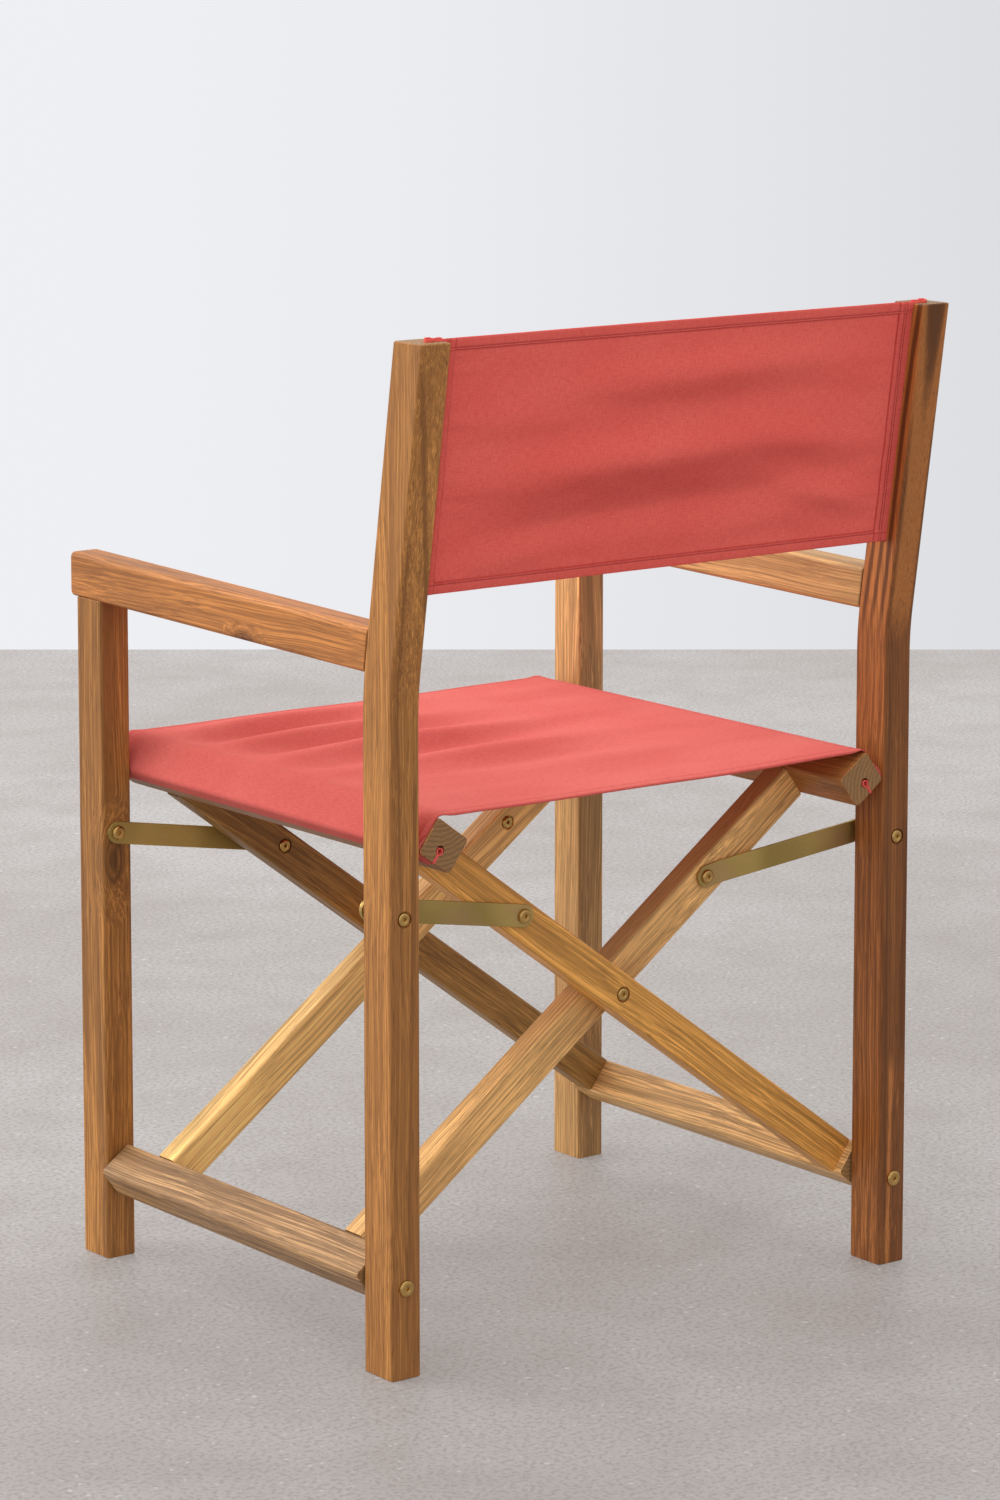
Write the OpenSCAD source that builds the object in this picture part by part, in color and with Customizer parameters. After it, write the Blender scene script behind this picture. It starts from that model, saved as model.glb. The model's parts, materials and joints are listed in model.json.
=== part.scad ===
// Folding director chair: two timber side frames, a double X of cross legs,
// flat steel stay links, a sling seat and a sling back.
// +Z is up, the sitter faces -Y and the sitter's left is +X.

/* [Overall] */
// Width over the outer faces of the posts
overall_w = 570; // [540:1:600]
// Height of the rear posts
overall_h = 870; // [830:1:900]
// Depth from the rear face of the rear posts to the front face of the front legs
frame_depth = 476; // [470:1:482]

/* [Posts and front legs] */
// Post section across the chair
post_x = 30; // [28:0.5:31]
// Post section from front to back
post_y = 40; // [38:0.5:42]
// Rounding of the long timber edges
edge_r = 3; // [2:0.5:4]
// Backward lean of the upper rear post, in degrees
lean = 8.7; // [6:0.1:10]
// Height of the bend in the rear post
bend_z = 575; // [560:1:580]
// Inner radius of that bend
bend_r = 300; // [200:10:400]

/* [Armrests] */
// Armrest width
arm_w = 30; // [28:0.5:34]
// Height of the armrest's underside at the front
arm_front_z = 600; // [595:1:605]
// Height of the armrest's underside at the rear
arm_rear_z = 593; // [588:1:598]
// Armrest thickness at the front
arm_front_t = 40; // [36:0.5:42]
// Armrest thickness at the rear
arm_rear_t = 38; // [34:0.5:40]
// Overhang in front of the front legs
arm_overhang = 11; // [6:1:20]

/* [Cross legs] */
// Cross leg thickness from front to back
leg_t = 24; // [22:0.5:24]
// Cross leg width
leg_w = 34; // [30:0.5:36]
// Slope of the cross legs from the floor, in degrees
slope = 36.4; // [36:0.1:36.8]
// Half the distance between the two bottom rail pivots
pivot_x = 270.5; // [269:0.5:271.5]
// Height of the bottom rail pivots
pivot_z = 78.4; // [76:0.2:82]
// Distance from the crossing up to the seat rail
head_d = 266; // [262:0.5:266]

/* [Rails] */
// Seat rail section along the cross leg
seat_rail_u = 38; // [36:0.5:38]
// Seat rail section across the cross leg
seat_rail_v = 34; // [32:0.5:34]
// Bottom rail section along the cross leg
low_rail_u = 36; // [34:0.5:37]
// Bottom rail section across the cross leg
low_rail_v = 34; // [32:0.5:35]
// Rounding of the bottom rail's lowest corner
low_rail_r = 8; // [4:1:12]
// Distance of the bottom rail's centre inside its pivot
low_rail_inset = 3.3; // [2:0.1:4]

/* [Links and hardware] */
// Height of the link pivots on the posts
link_post_z = 391; // [385:1:395]
// Distance of the link pivots above the crossing, along the cross legs
link_leg_d = 140.4; // [136:0.2:144]
// Link width
link_w = 20; // [18:0.5:22]
// Link thickness
link_t = 3; // [2.5:0.1:3]
// Bolt shank radius
bolt_r = 3; // [2.5:0.1:3.5]
// Head radius of the recessed bolts and of those on the links
head_r = 5.9; // [5.5:0.1:6.4]
// Head radius of the bolts into the bottom rails
rail_head_r = 7.1; // [6.6:0.1:7.4]

/* [Canvas] */
// Canvas thickness
cloth_t = 0.9; // [0.7:0.1:0.9]
// Height of the back canvas's lower edge
back_low_z = 658; // [650:1:665]
// How far the back canvas stands above the posts
back_rise = 4; // [2:0.5:5]

/* [Hidden] */
$fn = 48;

// Clearances: a shaft in its hole, and soft goods from timber
fit = 0.05;
cloth_gap = 0.1;

// Reference faces across and along the chair
post_out = overall_w / 2;
post_in = post_out - post_x;
link_x = post_out - 14;
lean_reach = (overall_h - bend_z) * tan(lean);
y_rear = (frame_depth + arm_overhang - lean_reach) / 2;
y_front = y_rear - frame_depth;
y_arm = y_front - arm_overhang;
bend_len = bend_r * tan(lean / 2);
bend_steps = 8;

// The crossing of the X, and the reach of the cross legs from it
cross_z = pivot_z + pivot_x * tan(slope);
pivot_d = pivot_x / cos(slope);
foot_d = pivot_d - low_rail_inset - low_rail_u / 2;
link_leg_x = link_leg_d * cos(slope) - 1.6;
link_leg_z = cross_z + link_leg_d * sin(slope) + 2.4;

// Depth stations, measured forward from the rear face of the rear posts
outer_rear_d = 50;
inner_rear_d = outer_rear_d + leg_t + 1;
inner_front_d = 361;
outer_front_d = 402;
seat_rail_d0 = 1.5;
seat_rail_d1 = frame_depth - 1.5;
low_rail_d0 = post_y + 2;
low_rail_d1 = frame_depth - post_y - 2;
side_clear = 0.4;
link_rear_d = outer_rear_d - side_clear - link_t;
link_front_d = frame_depth - post_y - 0.2 - link_t;
joggle_rear_d = inner_rear_d - side_clear - link_t;
joggle_front_d = inner_front_d + leg_t + side_clear;
front_spacer = link_front_d - outer_front_d - leg_t - side_clear;

// Hardware
head_h = 3.2;
sink = 2.2;
sink_r = head_r + 1.3;
washer_r = 9.3;
washer_h = 1.5;
nut_r = 6;
nut_h = 4.5;
sleeve_r = 4.5;
sleeve_len = 20;
socket_r = 2.4;
dowel_r = 4;
dowel_len = 40;
dowel_in_rail = 14;
dowel_step = 16;
insert_r = 5;
insert_len = 22;

// Canvas keyholes
slot_w = 3;
seat_hole_r = 4.3;
seat_hole_u = 1.3;
seat_hole_v = -4.8;
seat_rod_r = 2.6;
back_hole_r = 4.5;
back_hole_in = 12;
back_cloth_d = 16;
back_rod_r = 3;

wood = "peru";
wood_light = "burlywood";
zinc = "darkkhaki";
cloth = "indianred";

// Distance forward from the rear face, as a Y coordinate
function fwd(d) = y_rear - d;

// Underside and top of the armrest at a forward distance
function arm_share(d) = (d - post_y) / (frame_depth + arm_overhang - post_y);
function arm_low(d) = arm_rear_z + (arm_front_z - arm_rear_z) * arm_share(d);
function arm_top(d) = arm_low(d) + arm_rear_t + (arm_front_t - arm_rear_t) * arm_share(d);

// Y of the leaning part's front face at height z
function lean_front(z) = y_rear + (z - bend_z) * tan(lean) - post_y / cos(lean);

// Point i of the rear post's bend at radius r, as [y, z]
function bend_point(r, i) = [
    y_rear + bend_r - r * cos(lean * i / bend_steps),
    bend_z - bend_len + r * sin(lean * i / bend_steps)
];

// Flat rectangle about the origin with true round corners
module rounded_rect(a, b, r) {
    square([a - 2 * r, b], center = true);
    square([a, b - 2 * r], center = true);
    for (sx = [-1, 1])
        for (sy = [-1, 1])
            translate([sx * (a / 2 - r), sy * (b / 2 - r)]) circle(r);
}

// Bottom rail section: a rounded rectangle with one well rounded corner, the one nearest the floor
module low_rail_section() {
    difference() {
        rounded_rect(low_rail_u, low_rail_v, edge_r);
        translate([-low_rail_u / 2, low_rail_v / 2 - low_rail_r]) square(low_rail_r);
    }
    translate([-low_rail_u / 2 + low_rail_r, low_rail_v / 2 - low_rail_r]) circle(low_rail_r);
}

// Cylinder along Y between two forward distances
module pin_y(x, z, d0, d1, r) {
    translate([x, fwd(d1), z]) rotate([-90, 0, 0]) cylinder(h = d1 - d0, r = r);
}

// Button head with a hex socket, its top facing the rear; d is the forward distance of its underside
module bolt_head(x, z, d, r = head_r) {
    translate([x, fwd(d), z]) rotate([-90, 0, 0]) difference() {
        union() {
            cylinder(h = head_h * 0.45, r = r);
            translate([0, 0, head_h * 0.45]) cylinder(h = head_h * 0.55, r1 = r, r2 = r * 0.66);
        }
        translate([0, 0, head_h - 2]) cylinder(h = 3, r = socket_r, $fn = 6);
    }
}

// The same head facing the front; d is the forward distance of its underside
module bolt_head_front(x, z, d, r) {
    translate([x, fwd(d), z]) rotate([90, 0, 0]) difference() {
        union() {
            cylinder(h = head_h * 0.45, r = r);
            translate([0, 0, head_h * 0.45]) cylinder(h = head_h * 0.55, r1 = r, r2 = r * 0.66);
        }
        translate([0, 0, head_h - 2]) cylinder(h = 3, r = socket_r, $fn = 6);
    }
}

// Hex nut with its washer between two forward distances, bored for the bolt
module nut_y(x, z, d, toward_front) {
    s = toward_front ? 1 : -1;
    difference() {
        union() {
            pin_y(x, z, min(d, d + s * washer_h), max(d, d + s * washer_h), washer_r);
            translate([x, fwd(d), z]) rotate([s * 90, 0, 0])
                translate([0, 0, washer_h]) cylinder(h = nut_h, r = nut_r, $fn = 6);
        }
        pin_y(x, z, min(d - 1, d + s * (nut_h + 0.5)), max(d - 1, d + s * (nut_h + 0.5)) + 1, bolt_r + fit);
    }
}

// Flanged sleeve nut: the flange sits at forward distance d, the sleeve runs back from it
module sleeve_nut(x, z, d) {
    difference() {
        union() {
            pin_y(x, z, d, d + 1.2, head_r);
            pin_y(x, z, d - sleeve_len, d, sleeve_r);
        }
        pin_y(x, z, d - sleeve_len - 1, d - 1, bolt_r + fit);
    }
}

// Frame of the leaning part of the rear post: rear face at y = 0, z up along the post
module lean_frame() {
    translate([0, y_rear, bend_z]) rotate([-lean, 0, 0]) children();
}

// Bar along Y with a rounded section; u runs along the cross leg and v across it
module leg_frame(side) {
    mirror([side < 0 ? 1 : 0, 0, 0]) translate([0, 0, cross_z]) rotate([0, -slope, 0]) children();
}

// ---- Side frames, drawn for the left side and mirrored for the right ----

module rear_post(side) {
    color(wood) mirror([side < 0 ? 1 : 0, 0, 0]) difference() {
        translate([post_in, 0, 0]) rotate([90, 0, 90]) linear_extrude(post_x) polygon(concat(
            [[y_rear, 0]],
            [for (i = [0:bend_steps]) bend_point(bend_r, i)],
            [[y_rear + lean_reach, overall_h], [y_rear + lean_reach - post_y / cos(lean), overall_h]],
            [for (i = [bend_steps:-1:0]) bend_point(bend_r + post_y, i)],
            [[y_rear - post_y, 0]]
        ));
        lean_frame() {
            z0 = (back_low_z - bend_z) / cos(lean) - 1;
            translate([post_in + back_hole_in, -back_cloth_d, z0]) cylinder(h = 400, r = back_hole_r);
            translate([post_in - 1, -back_cloth_d - slot_w / 2, z0]) cube([back_hole_in + 1, slot_w, 400]);
        }
        pin_y(link_x, link_post_z, -1, post_y + 1, bolt_r + fit);
        pin_y(link_x, link_post_z, -1, sink, sink_r);
        pin_y(pivot_x, pivot_z, -1, post_y + 1, bolt_r + fit);
        pin_y(post_out - post_x / 2, arm_low(post_y) + arm_rear_t / 2, post_y - dowel_len / 2, post_y + 1,
            dowel_r + fit);
    }
}

module front_leg(side) {
    d0 = frame_depth - post_y;
    color(wood) mirror([side < 0 ? 1 : 0, 0, 0]) difference() {
        translate([post_out - post_x / 2, y_front + post_y / 2, 0])
            linear_extrude(arm_front_z + 10) rounded_rect(post_x, post_y, edge_r);
        translate([0, fwd(post_y), arm_low(post_y)])
            rotate([-atan((arm_front_z - arm_rear_z) / (frame_depth + arm_overhang - post_y)), 0, 0])
                translate([0, -frame_depth * 2, 0]) cube([post_out + 50, frame_depth * 3, 100]);
        pin_y(link_x, link_post_z, d0 - 1, frame_depth + 1, bolt_r + fit);
        pin_y(link_x, link_post_z, frame_depth - sink - sleeve_len, frame_depth + 1, sleeve_r + fit);
        pin_y(link_x, link_post_z, frame_depth - sink, frame_depth + 1, sink_r);
        pin_y(pivot_x, pivot_z, d0 - 1, frame_depth + 1, bolt_r + fit);
        translate([post_out - post_x / 2, y_front + post_y / 2, arm_front_z - dowel_len / 2])
            cylinder(h = dowel_len, r = dowel_r + fit);
    }
}

module armrest(side) {
    low = arm_low(post_y);
    top = arm_top(post_y);
    d1 = frame_depth + arm_overhang;
    color(wood) mirror([side < 0 ? 1 : 0, 0, 0]) difference() {
        translate([post_in, 0, 0]) rotate([90, 0, 90]) linear_extrude(arm_w) polygon([
            [lean_front(low) - fit, low], [lean_front(top) - fit, top],
            [fwd(d1) + edge_r, arm_top(d1)], [fwd(d1), arm_top(d1) - edge_r],
            [fwd(d1), arm_low(d1) + edge_r], [fwd(d1) + edge_r, arm_low(d1)]
        ]);
        pin_y(post_out - post_x / 2, low + arm_rear_t / 2, post_y - dowel_len / 2, post_y + dowel_len / 2 + 1,
            dowel_r + fit);
        translate([post_out - post_x / 2, y_front + post_y / 2, arm_front_z - 10])
            cylinder(h = dowel_len / 2 + 11, r = dowel_r + fit);
    }
}

module armrest_dowels(side) {
    color(wood_light) mirror([side < 0 ? 1 : 0, 0, 0]) {
        pin_y(post_out - post_x / 2, arm_low(post_y) + arm_rear_t / 2, post_y - dowel_len / 2,
            post_y + dowel_len / 2, dowel_r);
        translate([post_out - post_x / 2, y_front + post_y / 2, arm_front_z - dowel_len / 2])
            cylinder(h = dowel_len, r = dowel_r);
    }
}

module rail_bolts(side) {
    color(zinc) mirror([side < 0 ? 1 : 0, 0, 0]) {
        bolt_head(pivot_x, pivot_z, 0, rail_head_r);
        pin_y(pivot_x, pivot_z, 0, low_rail_d0 + insert_len - 4, bolt_r);
        bolt_head_front(pivot_x, pivot_z, frame_depth, rail_head_r);
        pin_y(pivot_x, pivot_z, low_rail_d1 - insert_len + 4, frame_depth, bolt_r);
    }
}

module rail_washers(side) {
    gap = low_rail_d0 - post_y;
    color(zinc) mirror([side < 0 ? 1 : 0, 0, 0]) for (d = [post_y, frame_depth - post_y - gap + 0.2])
        difference() {
            pin_y(pivot_x, pivot_z, d, d + gap - 0.2, head_r);
            pin_y(pivot_x, pivot_z, d - 1, d + gap + 1, bolt_r + fit);
        }
}

module link_bolts(side) {
    color(zinc) mirror([side < 0 ? 1 : 0, 0, 0]) {
        bolt_head(link_x, link_post_z, sink);
        pin_y(link_x, link_post_z, sink, outer_rear_d - 0.2 + nut_h, bolt_r);
        bolt_head(link_x, link_post_z, link_front_d - 0.2);
        pin_y(link_x, link_post_z, link_front_d - 0.2, frame_depth - sink - 2, bolt_r);
    }
}

module link_nuts(side) {
    color(zinc) mirror([side < 0 ? 1 : 0, 0, 0]) {
        nut_y(link_x, link_post_z, outer_rear_d - 0.2, true);
        sleeve_nut(link_x, link_post_z, frame_depth - sink);
    }
}

module link_spacer(side) {
    color(zinc) mirror([side < 0 ? 1 : 0, 0, 0]) difference() {
        pin_y(link_x, link_post_z, post_y, link_rear_d - 0.2, head_r);
        pin_y(link_x, link_post_z, post_y - 1, link_rear_d + 1, bolt_r + fit);
    }
}

// ---- Cross frames ----

// One cross leg between its seat rail and its bottom rail
module cross_leg(side, d, tone) {
    color(tone) difference() {
        leg_frame(side) translate([-foot_d, fwd(d + leg_t / 2), 0]) rotate([0, 90, 0])
            linear_extrude(foot_d + head_d) rounded_rect(leg_w, leg_t, edge_r);
        pin_y(0, cross_z, d - 1, d + leg_t + 1, bolt_r + fit);
        if (d == outer_rear_d)
            pin_y(0, cross_z, d - 1, d + sink, sink_r);
        if (d == inner_front_d)
            pin_y(0, cross_z, d - 1, d + sink, sink_r);
        if (d < frame_depth / 2) {
            pin_y(side * link_leg_x, link_leg_z, d - 1, d + leg_t + 1, sleeve_r + fit);
            pin_y(side * link_leg_x, link_leg_z, d + leg_t - sink, d + leg_t + 1, sink_r);
        } else {
            pin_y(side * link_leg_x, link_leg_z, d - 1, d + leg_t + 1, bolt_r + fit);
            pin_y(side * link_leg_x, link_leg_z, d - 1, d + sink, sink_r);
        }
        leg_dowels(side, d, fit);
    }
}

// The four dowels of one cross leg, two at each end
module leg_dowels(side, d, extra) {
    leg_frame(side) for (start = [head_d + dowel_in_rail - dowel_len, -foot_d - dowel_in_rail])
        for (v = [-dowel_step / 2, dowel_step / 2])
            translate([start - extra, fwd(d + leg_t / 2), v]) rotate([0, 90, 0])
                cylinder(h = dowel_len + 2 * extra, r = dowel_r + extra);
}

module frame_dowels(side, stations) {
    color(wood_light) for (d = stations) leg_dowels(side, d, 0);
}

// Seat rail: u along the cross leg, outwards; the canvas keyhole opens in its underside
module seat_rail(side, stations) {
    uc = head_d + seat_rail_u / 2;
    color(wood) difference() {
        leg_frame(side) translate([uc, fwd(seat_rail_d1), 0]) rotate([-90, 0, 0])
            linear_extrude(seat_rail_d1 - seat_rail_d0) rounded_rect(seat_rail_u, seat_rail_v, edge_r);
        leg_frame(side) {
            translate([uc + seat_hole_u, fwd(seat_rail_d1 + 1), seat_hole_v]) rotate([-90, 0, 0])
                cylinder(h = seat_rail_d1 - seat_rail_d0 + 2, r = seat_hole_r);
            translate([uc + seat_hole_u - slot_w / 2, fwd(seat_rail_d1 + 1), -seat_rail_v])
                cube([slot_w, seat_rail_d1 - seat_rail_d0 + 2, seat_rail_v + seat_hole_v]);
        }
        for (d = stations) leg_dowels(side, d, fit);
    }
}

// Bottom rail, bored at both ends for its inserts
module bottom_rail(side, stations) {
    uc = -foot_d - low_rail_u / 2;
    color(wood) difference() {
        leg_frame(-side) translate([uc, fwd(low_rail_d1), 0]) rotate([-90, 0, 0])
            linear_extrude(low_rail_d1 - low_rail_d0) low_rail_section();
        for (d = [low_rail_d0, low_rail_d1 - insert_len])
            pin_y(side * pivot_x, pivot_z, d - 1, d + insert_len + 1, insert_r + fit);
        for (d = stations) leg_dowels(-side, d, fit);
    }
}

module rail_inserts(side) {
    color(zinc) for (d = [low_rail_d0, low_rail_d1 - insert_len])
        difference() {
            pin_y(side * pivot_x, pivot_z, d, d + insert_len, insert_r);
            pin_y(side * pivot_x, pivot_z, d - 1, d + insert_len + 1, bolt_r + fit);
        }
}

// Sleeve nut held in a rear cross leg, where a link's bolt lands
module leg_sleeve_nut(side, d) {
    color(zinc) sleeve_nut(side * link_leg_x, link_leg_z, d + leg_t - sink);
}

// Bolt held in a front cross leg, where a link's nut lands
module leg_bolt(side, d) {
    color(zinc) {
        bolt_head(side * link_leg_x, link_leg_z, d + sink);
        pin_y(side * link_leg_x, link_leg_z, d + sink, d + leg_t, bolt_r);
    }
}

module rear_cross_bolt() {
    color(zinc) {
        bolt_head(0, cross_z, outer_rear_d + sink);
        pin_y(0, cross_z, outer_rear_d + sink, inner_rear_d + leg_t + nut_h, bolt_r);
    }
}

module front_cross_bolt() {
    color(zinc) {
        bolt_head(0, cross_z, inner_front_d + sink);
        pin_y(0, cross_z, inner_front_d + sink, outer_front_d + leg_t + nut_h, bolt_r);
    }
}

module cross_nuts() {
    color(zinc) {
        nut_y(0, cross_z, inner_rear_d + leg_t + 0.1, true);
        nut_y(0, cross_z, outer_front_d + leg_t, true);
    }
}

// Thin washer between the rear legs, and the long spacer between the front legs
module cross_spacers() {
    gap_d = inner_front_d + leg_t;
    color(zinc) {
        difference() {
            pin_y(0, cross_z, outer_rear_d + leg_t, inner_rear_d - 0.2, washer_r);
            pin_y(0, cross_z, outer_rear_d, inner_rear_d + 1, bolt_r + fit);
        }
        difference() {
            pin_y(0, cross_z, gap_d + 0.2, outer_front_d, head_r);
            pin_y(0, cross_z, gap_d - 1, outer_front_d + 1, bolt_r + fit);
        }
    }
}

// ---- Links ----

link_len = sqrt(pow(link_x - link_leg_x, 2) + pow(link_post_z - link_leg_z, 2));
link_tilt = atan((link_post_z - link_leg_z) / (link_x - link_leg_x));

// Flat bar from the post pivot (x = 0) to the leg pivot (x = -link_len), d0 at the post and d1 at the leg
module link(side, d0, d1) {
    bend_a = 13;
    color(zinc) mirror([side < 0 ? 1 : 0, 0, 0]) translate([link_x, 0, link_post_z])
        rotate([0, -link_tilt, 0]) difference() {
            intersection() {
                translate([0, fwd(0), 0]) rotate([90, 0, 0]) linear_extrude(frame_depth) union() {
                    circle(link_w / 2);
                    translate([-link_len, 0]) circle(link_w / 2);
                    translate([-link_len, -link_w / 2]) square([link_len, link_w]);
                }
                translate([0, 0, -link_w]) linear_extrude(2 * link_w) polygon([
                    [link_w, fwd(d0)], [link_w, fwd(d0 + link_t)], [-bend_a, fwd(d0 + link_t)],
                    [-link_len + bend_a, fwd(d1 + link_t)], [-link_len - link_w, fwd(d1 + link_t)],
                    [-link_len - link_w, fwd(d1)], [-link_len + bend_a, fwd(d1)], [-bend_a, fwd(d0)]
                ]);
            }
            for (x = [0, -link_len])
                translate([x, fwd(frame_depth), 0]) rotate([-90, 0, 0])
                    cylinder(h = frame_depth + 10, r = bolt_r + fit);
        }
}

// Bolt at a rear link's leg end: head behind the link, shank cut flush with the link
module rear_link_bolt(side, d) {
    color(zinc) {
        bolt_head(side * link_leg_x, link_leg_z, d - 0.1);
        pin_y(side * link_leg_x, link_leg_z, d - 0.1, d + link_t, bolt_r);
    }
}

// Nut at a front link's leg end, with the spacer that keeps the link off the leg
module front_link_nut(side, d, spacer) {
    x = side * link_leg_x;
    color(zinc) {
        nut_y(x, link_leg_z, d + link_t + 0.1, true);
        pin_y(x, link_leg_z, d, d + link_t + 2, bolt_r);
        if (spacer > 0)
            pin_y(x, link_leg_z, d - spacer, d - 0.1, head_r);
        if (spacer > 0)
            pin_y(x, link_leg_z, d - 1, d + 1, bolt_r);
    }
}

// ---- Canvas ----

// Seat canvas edge in the cross-leg frame: down the rail's outer face, under it and up the slot to the rod
module seat_wrap() {
    uc = head_d + seat_rail_u / 2;
    u1 = head_d + seat_rail_u + cloth_gap;
    v1 = seat_rail_v / 2 + cloth_gap;
    us = uc + seat_hole_u;
    translate([u1, -v1 + edge_r]) square([cloth_t, 2 * v1 + cloth_t - edge_r]);
    translate([us - cloth_t / 2, -v1 - cloth_t]) square([u1 - edge_r - us + cloth_t / 2, cloth_t]);
    translate([us - cloth_t / 2, -v1 - cloth_t]) square([cloth_t, v1 + cloth_t + seat_hole_v - seat_rod_r]);
    translate([u1 - edge_r, -v1 + edge_r]) difference() {
        circle(edge_r + cloth_t);
        circle(edge_r);
        translate([-2 * edge_r, 0]) square(4 * edge_r);
        translate([-4 * edge_r, -2 * edge_r]) square(4 * edge_r);
    }
    translate([us, seat_hole_v]) difference() {
        circle(seat_rod_r + fit + cloth_t);
        circle(seat_rod_r + fit);
    }
}

module seat_canvas() {
    u1 = head_d + seat_rail_u + cloth_gap + cloth_t;
    v1 = seat_rail_v / 2 + cloth_gap + cloth_t;
    top_x = u1 * cos(slope) - v1 * sin(slope);
    top_z = cross_z + u1 * sin(slope) + v1 * cos(slope);
    color(cloth) {
        for (side = [-1, 1])
            leg_frame(side) translate([0, fwd(seat_rail_d0 + 1.5), 0]) rotate([90, 0, 0])
                linear_extrude(seat_rail_d1 - seat_rail_d0 - 3) seat_wrap();
        translate([-top_x - cloth_t, fwd(seat_rail_d1 - 1.5), top_z - cloth_t])
            cube([2 * top_x + 2 * cloth_t, seat_rail_d1 - seat_rail_d0 - 3, cloth_t]);
    }
}

module seat_rod(side) {
    color(wood_light) leg_frame(side)
        translate([head_d + seat_rail_u / 2 + seat_hole_u, fwd(seat_rail_d1 - 4), seat_hole_v])
            rotate([-90, 0, 0]) cylinder(h = seat_rail_d1 - seat_rail_d0 - 8, r = seat_rod_r);
}

// Back canvas: a leaning sheet whose ends are sleeves round the rods in the posts
module back_canvas() {
    z0 = (back_low_z - bend_z) / cos(lean);
    z1 = (overall_h + back_rise - bend_z) / cos(lean) - back_cloth_d * tan(lean);
    xr = post_in + back_hole_in;
    color(cloth) lean_frame() translate([0, -back_cloth_d, z0]) linear_extrude(z1 - z0) difference() {
        union() {
            square([2 * xr, cloth_t], center = true);
            for (s = [-1, 1])
                translate([s * xr, 0]) circle(back_rod_r + fit + cloth_t);
        }
        for (s = [-1, 1])
            translate([s * xr, 0]) circle(back_rod_r + fit);
    }
}

module back_rod(side) {
    z0 = (back_low_z - bend_z) / cos(lean);
    z1 = (overall_h - bend_z) / cos(lean) - back_cloth_d * tan(lean);
    color(wood_light) lean_frame() translate([side * (post_in + back_hole_in), -back_cloth_d, z0])
        cylinder(h = z1 - z0, r = back_rod_r);
}

outer_stations = [outer_rear_d, outer_front_d];
inner_stations = [inner_rear_d, inner_front_d];

rear_post(1);  // left_rear_post
front_leg(1);  // left_front_leg
armrest(1);  // left_armrest
armrest_dowels(1);  // left_armrest_dowels
rail_bolts(1);  // left_rail_bolts
rail_washers(1);  // left_rail_washers
link_bolts(1);  // left_link_bolts
link_nuts(1);  // left_link_nuts
link_spacer(1);  // left_link_spacer
rear_post(-1);  // right_rear_post
front_leg(-1);  // right_front_leg
armrest(-1);  // right_armrest
armrest_dowels(-1);  // right_armrest_dowels
rail_bolts(-1);  // right_rail_bolts
rail_washers(-1);  // right_rail_washers
link_bolts(-1);  // right_link_bolts
link_nuts(-1);  // right_link_nuts
link_spacer(-1);  // right_link_spacer
back_canvas();
back_rod(1);  // left_back_rod
back_rod(-1);  // right_back_rod
bottom_rail(1, inner_stations);  // left_bottom_rail
cross_leg(-1, inner_rear_d, wood);  // rear_inner_leg
cross_leg(-1, inner_front_d, wood);  // front_inner_leg
seat_rail(-1, inner_stations);  // right_seat_rail
frame_dowels(-1, inner_stations);  // inner_frame_dowels
rail_inserts(1);  // left_rail_inserts
leg_sleeve_nut(-1, inner_rear_d);  // inner_sleeve_nut
leg_bolt(-1, inner_front_d);  // inner_leg_bolt
seat_rod(-1);  // right_seat_rod
bottom_rail(-1, outer_stations);  // right_bottom_rail
cross_leg(1, outer_rear_d, wood_light);  // rear_outer_leg
cross_leg(1, outer_front_d, wood);  // front_outer_leg
seat_rail(1, outer_stations);  // left_seat_rail
frame_dowels(1, outer_stations);  // outer_frame_dowels
rail_inserts(-1);  // right_rail_inserts
leg_sleeve_nut(1, outer_rear_d);  // outer_sleeve_nut
leg_bolt(1, outer_front_d);  // outer_leg_bolt
seat_rod(1);  // left_seat_rod
rear_cross_bolt();
front_cross_bolt();
cross_nuts();
cross_spacers();
seat_canvas();
link(1, link_rear_d, link_rear_d);  // left_rear_link
rear_link_bolt(1, link_rear_d);  // left_rear_link_bolt
link(1, link_front_d, link_front_d);  // left_front_link
front_link_nut(1, link_front_d, front_spacer);  // left_front_link_nut
link(-1, link_rear_d, joggle_rear_d);  // right_rear_link
rear_link_bolt(-1, joggle_rear_d);  // right_rear_link_bolt
link(-1, link_front_d, joggle_front_d);  // right_front_link
front_link_nut(-1, joggle_front_d, 0);  // right_front_link_nut
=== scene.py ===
"""Looks for the folding director chair: turned and rounded timber, sewn canvas and zinc hardware on the CAD frame.

Lengths are in metres. The chair faces -Y, +X is the sitter's left, and "forward" distances are measured
from the rear face of the rear posts.
"""
import json
import math

import bmesh
import bpy
from mathutils import Matrix, Vector, noise


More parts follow.
